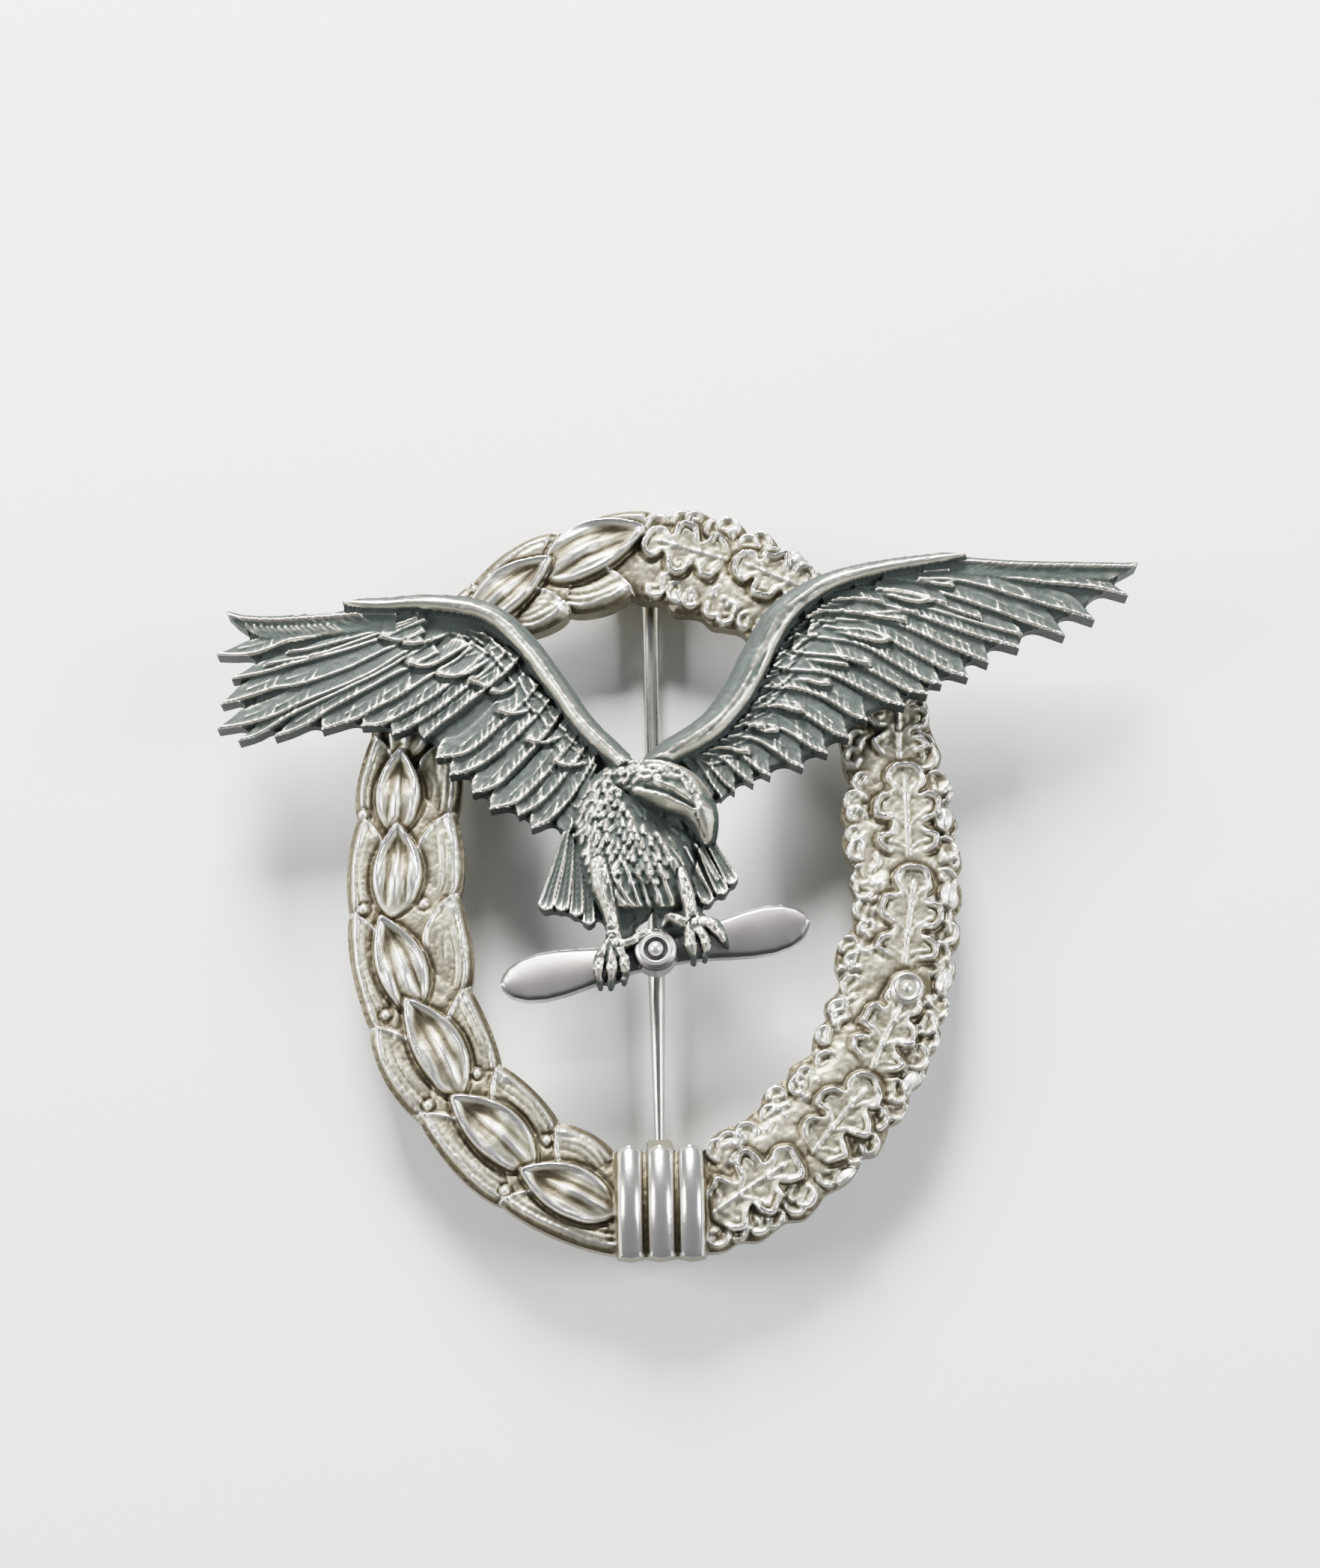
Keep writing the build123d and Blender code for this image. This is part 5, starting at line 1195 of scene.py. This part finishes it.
E.H += 0.012 * noise2(E.X, E.Y, 0.25, 90)
eagle = build(E, "eagle_relief", EAGLE_BACK, round_edge=0.16, fine=0.25)
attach(eagle, "badge")
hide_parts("eagle")

# ------------------------------------------------------------------ propeller
PCX, PCY, PTILT, PHALF = -0.05, -6.45, 11.0, 10.6
PR = Field(-11.6, -10.4, 11.6, -2.6, 0.06, 6.4)
c, s_ = math.cos(math.radians(PTILT)), math.sin(math.radians(PTILT))
A = (PR.X - PCX) * c + (PR.Y - PCY) * s_
B = -(PR.X - PCX) * s_ + (PR.Y - PCY) * c
aa_ = np.abs(A)
prof = np.interp(aa_, [0, 1.6, 3.2, 4.8, 6.4, 7.8, 9.0, 9.9, 10.4, 10.6], [0.95, 0.92, 1.05, 1.32, 1.55, 1.62, 1.45, 1.05, 0.55, 0.02])
k_ = np.ones(9) / 9
sd = np.minimum(prof - np.abs(B), (PHALF - aa_) * 0.9)
sd = np.where(aa_ > PHALF, PHALF - aa_, sd)
sd = blur(sd, 0.12, PR.step)
rel = B / np.maximum(prof, 0.1)
h = 7.12 + 0.22 * (1 - rel ** 2) + 0.10 * rel * np.sign(A) * smooth01(aa_ / 3.0)
PR.over((slice(None), slice(None)), h, sd, 0.08, polish_and_painted_light=0.5)
d = np.hypot(A, B)
hub_h = 7.55 + 0.75 * np.sqrt(np.clip(1 - (d / 1.45) ** 2, 0, 1)) ** 0.6
hub_h += 0.18 * np.exp(-((d - 0.95) / 0.12) ** 2) - 0.22 * smooth01((0.85 - d) / 0.15) + 0.55 * np.sqrt(np.clip(1 - (d / 0.55) ** 2, 0, 1))
PR.top((slice(None), slice(None)), hub_h, 1.45 - d, 0.08, polish_and_painted_light=0.7)
prop = build(PR, "propeller_relief", 6.05, round_edge=0.32)
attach(prop, "badge")
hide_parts("propeller")


# ------------------------------------------------------------------ materials
def shader(name):
    m = bpy.data.materials.new(name)
    m.use_nodes = True
    nt = m.node_tree
    nt.nodes.clear()
    out = nt.nodes.new("ShaderNodeOutputMaterial")
    b = nt.nodes.new("ShaderNodeBsdfPrincipled")
    nt.links.new(b.outputs["BSDF"], out.inputs["Surface"])
    return m, nt, b


def node(nt, kind, **kw):
    n = nt.nodes.new(kind)
    for k, v in kw.items():
        setattr(n, k, v)
    return n


def attr(nt, name):
    n = node(nt, "ShaderNodeAttribute", attribute_name=name, attribute_type="GEOMETRY")
    return n.outputs["Fac"]


def ramp(nt, src, stops, interp="LINEAR"):
    r = node(nt, "ShaderNodeValToRGB")
    r.color_ramp.interpolation = interp
    el = r.color_ramp.elements
    while len(el) > 1:
        el.remove(el[-1])
    el[0].position, el[0].color = stops[0][0], (*stops[0][1], 1) if len(stops[0][1]) == 3 else stops[0][1]
    for p, col in stops[1:]:
        e = el.new(p)
        e.color = (*col, 1)
    nt.links.new(src, r.inputs["Fac"])
    return r.outputs["Color"]


def mathn(nt, op, a, b=None, clamp=False):
    n = node(nt, "ShaderNodeMath", operation=op, use_clamp=clamp)
    for i, q in enumerate([a, b]):
        if q is None:
            continue
        if isinstance(q, (int, float)):
            n.inputs[i].default_value = q
        else:
            nt.links.new(q, n.inputs[i])
    return n.outputs[0]


def mixc(nt, fac, a, b):
    n = node(nt, "ShaderNodeMix", data_type="RGBA")
    for sock, q in ((n.inputs[0], fac), (n.inputs[6], a), (n.inputs[7], b)):
        if isinstance(q, (int, float)):
            sock.default_value = q
        elif isinstance(q, tuple):
            sock.default_value = (*q, 1)
        else:
            nt.links.new(q, sock)
    return n.outputs[2]


def noise(nt, scale, detail=4.0, rough=0.6, vec=None):
    n = node(nt, "ShaderNodeTexNoise")
    n.inputs["Scale"].default_value = scale
    n.inputs["Detail"].default_value = detail
    n.inputs["Roughness"].default_value = rough
    if vec is None:
        tc = node(nt, "ShaderNodeTexCoord")
        vec = tc.outputs["Object"]
    nt.links.new(vec, n.inputs["Vector"])
    return n.outputs["Fac"]


def grey(x):
    return (x, x, x)


def bumped(nt, b, src, strength, dist):
    n = node(nt, "ShaderNodeBump")
    n.inputs["Strength"].default_value = strength
    n.inputs["Distance"].default_value = dist
    nt.links.new(src, n.inputs["Height"])
    nt.links.new(n.outputs["Normal"], b.inputs["Normal"])


# frosted wreath
m, nt, b = shader("wreath_silver")
wear, cav_and_wall_shade, pol_and_painted_light = attr(nt, "wear"), attr(nt, "cav_and_wall_shade"), attr(nt, "polish_and_painted_light")
n1 = noise(nt, 900, 6, 0.65)
n2 = noise(nt, 160, 4, 0.6)
t = mathn(nt, "ADD", mathn(nt, "MULTIPLY", cav_and_wall_shade, 0.65), mathn(nt, "MULTIPLY", wear, 3.0))
t = mathn(nt, "ADD", t, mathn(nt, "MULTIPLY", mathn(nt, "MINIMUM", pol_and_painted_light, 0.0), 0.55))
t = mathn(nt, "ADD", t, mathn(nt, "MULTIPLY", mathn(nt, "SUBTRACT", n2, 0.5), 0.55))
t = mathn(nt, "ADD", t, mathn(nt, "MULTIPLY", mathn(nt, "SUBTRACT", n1, 0.5), 0.35))
t = mathn(nt, "ADD", t, 0.5, clamp=True)
frost = ramp(nt, t, [(0.0, (0.10, 0.083, 0.055)), (0.26, (0.235, 0.207, 0.145)), (0.52, (0.405, 0.369, 0.275)), (0.78, (0.60, 0.562, 0.455)), (1.0, (0.88, 0.85, 0.775))])
pm = mathn(nt, "MULTIPLY", pol_and_painted_light, mathn(nt, "ADD", mathn(nt, "MULTIPLY", n2, 0.6), 0.7), clamp=True)
col = mixc(nt, pm, frost, (0.74, 0.72, 0.70))
nt.links.new(col, b.inputs["Base Color"])
b.inputs["Metallic"].default_value = 0.92
rg = ramp(nt, pm, [(0.0, grey(0.46)), (0.5, grey(0.32)), (1.0, grey(0.18))])
rg2 = mathn(nt, "ADD", rg, mathn(nt, "MULTIPLY", mathn(nt, "SUBTRACT", n1, 0.5), 0.16), clamp=True)
nt.links.new(rg2, b.inputs["Roughness"])
fac = mathn(nt, "MULTIPLY", n1, mathn(nt, "SUBTRACT", 1.15, pm))
bumped(nt, b, fac, 0.55, 0.00012)
wreath.data.materials.append(m)
WREATH_MAT = m

# oxidised eagle
m, nt, b = shader("eagle_dark_silver")
wear, cav_and_wall_shade, pol_and_painted_light = attr(nt, "wear"), attr(nt, "cav_and_wall_shade"), attr(nt, "polish_and_painted_light")
n1 = noise(nt, 1100, 6, 0.65)
n2 = noise(nt, 220, 4, 0.6)
t = mathn(nt, "ADD", mathn(nt, "MULTIPLY", wear, 5.6), mathn(nt, "MULTIPLY", cav_and_wall_shade, 0.7))
t = mathn(nt, "ADD", t, mathn(nt, "MULTIPLY", mathn(nt, "SUBTRACT", n2, 0.5), 0.75))
t = mathn(nt, "ADD", t, mathn(nt, "MULTIPLY", mathn(nt, "SUBTRACT", n1, 0.5), 0.55))
t = mathn(nt, "ADD", t, mathn(nt, "MULTIPLY", pol_and_painted_light, 0.55))
t = mathn(nt, "ADD", t, 0.275, clamp=True)
col = ramp(nt, t, [(0.0, (0.034, 0.041, 0.038)), (0.28, (0.050, 0.063, 0.057)), (0.50, (0.080, 0.093, 0.083)), (0.66, (0.19, 0.181, 0.152)), (0.84, (0.44, 0.41, 0.35)), (1.0, (0.74, 0.70, 0.62))])
nt.links.new(col, b.inputs["Base Color"])
met = ramp(nt, t, [(0.0, grey(0.0)), (0.45, grey(0.15)), (0.70, grey(1.0))])
b.inputs["Specular IOR Level"].default_value = 0.18
nt.links.new(met, b.inputs["Metallic"])
rg = ramp(nt, t, [(0.0, grey(0.64)), (0.45, grey(0.54)), (0.7, grey(0.43)), (1.0, grey(0.36))])
nt.links.new(rg, b.inputs["Roughness"])
bumped(nt, b, n1, 0.5, 0.0001)
eagle.data.materials.append(m)

# emblem
m, nt, b = shader("emblem_silver")
wear, pol_and_painted_light = attr(nt, "wear"), attr(nt, "polish_and_painted_light")
n1 = noise(nt, 260, 5, 0.6)
n3 = noise(nt, 1500, 3, 0.6)
t = mathn(nt, "ADD", mathn(nt, "MULTIPLY", wear, 5.0), mathn(nt, "MULTIPLY", n1, 0.5))
t = mathn(nt, "ADD", t, 0.12, clamp=True)
col = ramp(nt, t, [(0.0, (0.14, 0.14, 0.14)), (0.3, (0.36, 0.34, 0.34)), (0.55, (0.47, 0.43, 0.42)), (0.8, (0.72, 0.69, 0.66)), (1.0, (0.88, 0.86, 0.83))])
nt.links.new(col, b.inputs["Base Color"])
b.inputs["Metallic"].default_value = 0.95
rg = ramp(nt, n1, [(0.3, grey(0.40)), (0.7, grey(0.30))])
nt.links.new(rg, b.inputs["Roughness"])
bumped(nt, b, n3, 0.15, 0.00004)
prop.data.materials.append(m)

# metal of the reverse
m, nt, b = shader("back_metal")
n1 = noise(nt, 420, 5, 0.6)
n3 = noise(nt, 1600, 3, 0.6)
col = ramp(nt, n1, [(0.3, (0.30, 0.27, 0.20)), (0.55, (0.52, 0.49, 0.41)), (0.75, (0.66, 0.63, 0.56))])
nt.links.new(col, b.inputs["Base Color"])
b.inputs["Metallic"].default_value = 0.95
nt.links.new(ramp(nt, n1, [(0.3, grey(0.50)), (0.7, grey(0.32))]), b.inputs["Roughness"])
bumped(nt, b, n3, 0.25, 0.00005)
back_metal = m

# drawn steel of the needle: fine lines along Y
m, nt, b = shader("pin_steel")
tc = node(nt, "ShaderNodeTexCoord")
mp = node(nt, "ShaderNodeMapping")
mp.inputs["Scale"].default_value = (1.0, 0.02, 1.0)
nt.links.new(tc.outputs["Object"], mp.inputs["Vector"])
n1 = noise(nt, 5000, 3, 0.6, mp.outputs["Vector"])
n2 = noise(nt, 240, 4, 0.6)
col = ramp(nt, n2, [(0.3, (0.42, 0.40, 0.36)), (0.6, (0.66, 0.65, 0.61)), (0.8, (0.80, 0.79, 0.76))])
nt.links.new(col, b.inputs["Base Color"])
b.inputs["Metallic"].default_value = 1.0
nt.links.new(ramp(nt, n1, [(0.3, grey(0.34)), (0.7, grey(0.22))]), b.inputs["Roughness"])
bumped(nt, b, n1, 0.2, 0.00003)
steel = m

for name, mat, sl in (("rivet_left", back_metal, "back_metal"), ("rivet_right", back_metal, "back_metal"),
                      ("hinge_plate", back_metal, "back_metal"), ("hinge_block", back_metal, "back_metal"),
                      ("catch_plate", back_metal, "back_metal"), ("catch_hook", back_metal, "back_metal"),
                      ("hinge_pin", steel, "pin_steel"), ("needle", steel, "pin_steel")):
    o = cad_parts[name]
    o.data.materials.clear()
    o.data.materials.append(mat)

# ------------------------------------------------------------------ floor, light, camera
m, nt, b = shader("floor_plain")
b.inputs["Base Color"].default_value = (0.78, 0.78, 0.77, 1)
b.inputs["Roughness"].default_value = 0.85
bpy.ops.mesh.primitive_plane_add(size=2.0, location=(0, 0, 0))
floor = bpy.context.object
floor.name = "floor"
floor.data.materials.append(m)

world = bpy.data.worlds.new("studio")
bpy.context.scene.world = world
world.use_nodes = True
bg = world.node_tree.nodes["Background"]
bg.inputs["Color"].default_value = (0.86, 0.92, 1.0, 1)
bg.inputs["Strength"].default_value = 0.16

ROT = math.radians(-1.0)
TILT = math.radians(17.0)
R = Matrix.Rotation(ROT, 3, "Z")
target = Vector((OX, OY, 5.0)) + R @ Vector((0.35, 6.0, 0.0))
right = R @ Vector((1, 0, 0))
backv = R @ Vector((0, -math.sin(TILT), math.cos(TILT)))
up = backv.cross(right)
cam_data = bpy.data.cameras.new("camera")
cam = bpy.data.objects.new("camera", cam_data)
bpy.context.scene.collection.objects.link(cam)
rot = Matrix((right, up, backv)).transposed().to_4x4()
cam.matrix_world = Matrix.Translation((target + backv * 206.0) * MM) @ rot
cam_data.lens = 3996.0 / 2096.0 * 36.0
cam_data.sensor_width = 36.0
cam_data.clip_start = 0.005
cam_data.clip_end = 10.0
bpy.context.scene.camera = cam


def area(name, loc, aim, size, power, color=(1, 1, 1), size_y=None):
    ld = bpy.data.lights.new(name, "AREA")
    ld.energy = power
    ld.color = color
    ld.size = size
    if size_y:
        ld.shape = "RECTANGLE"
        ld.size_y = size_y
    o = bpy.data.objects.new(name, ld)
    bpy.context.scene.collection.objects.link(o)
    o.location = loc
    o.rotation_mode = "QUATERNION"
    o.rotation_quaternion = (Vector(aim) - Vector(loc)).to_track_quat("-Z", "Y")
    return o


area("key", (-0.05, 0.34, 0.21), (0, 0, 0.005), 0.16, 6.5, (1.0, 0.98, 0.95))
area("fill", (0.32, -0.02, 0.22), (0, 0, 0.005), 0.16, 1.6, (0.92, 0.96, 1.0))
area("rim", (-0.34, 0.02, 0.20), (0, 0, 0.005), 0.16, 1.8, (1.0, 1.0, 1.0))
scene = bpy.context.scene
scene.view_settings.view_transform = "AgX" if "AgX" in [i.identifier for i in scene.view_settings.bl_rna.properties["view_transform"].enum_items] else "Filmic"

try:
    scene.view_settings.look = "AgX - Medium High Contrast"
except TypeError:
    pass
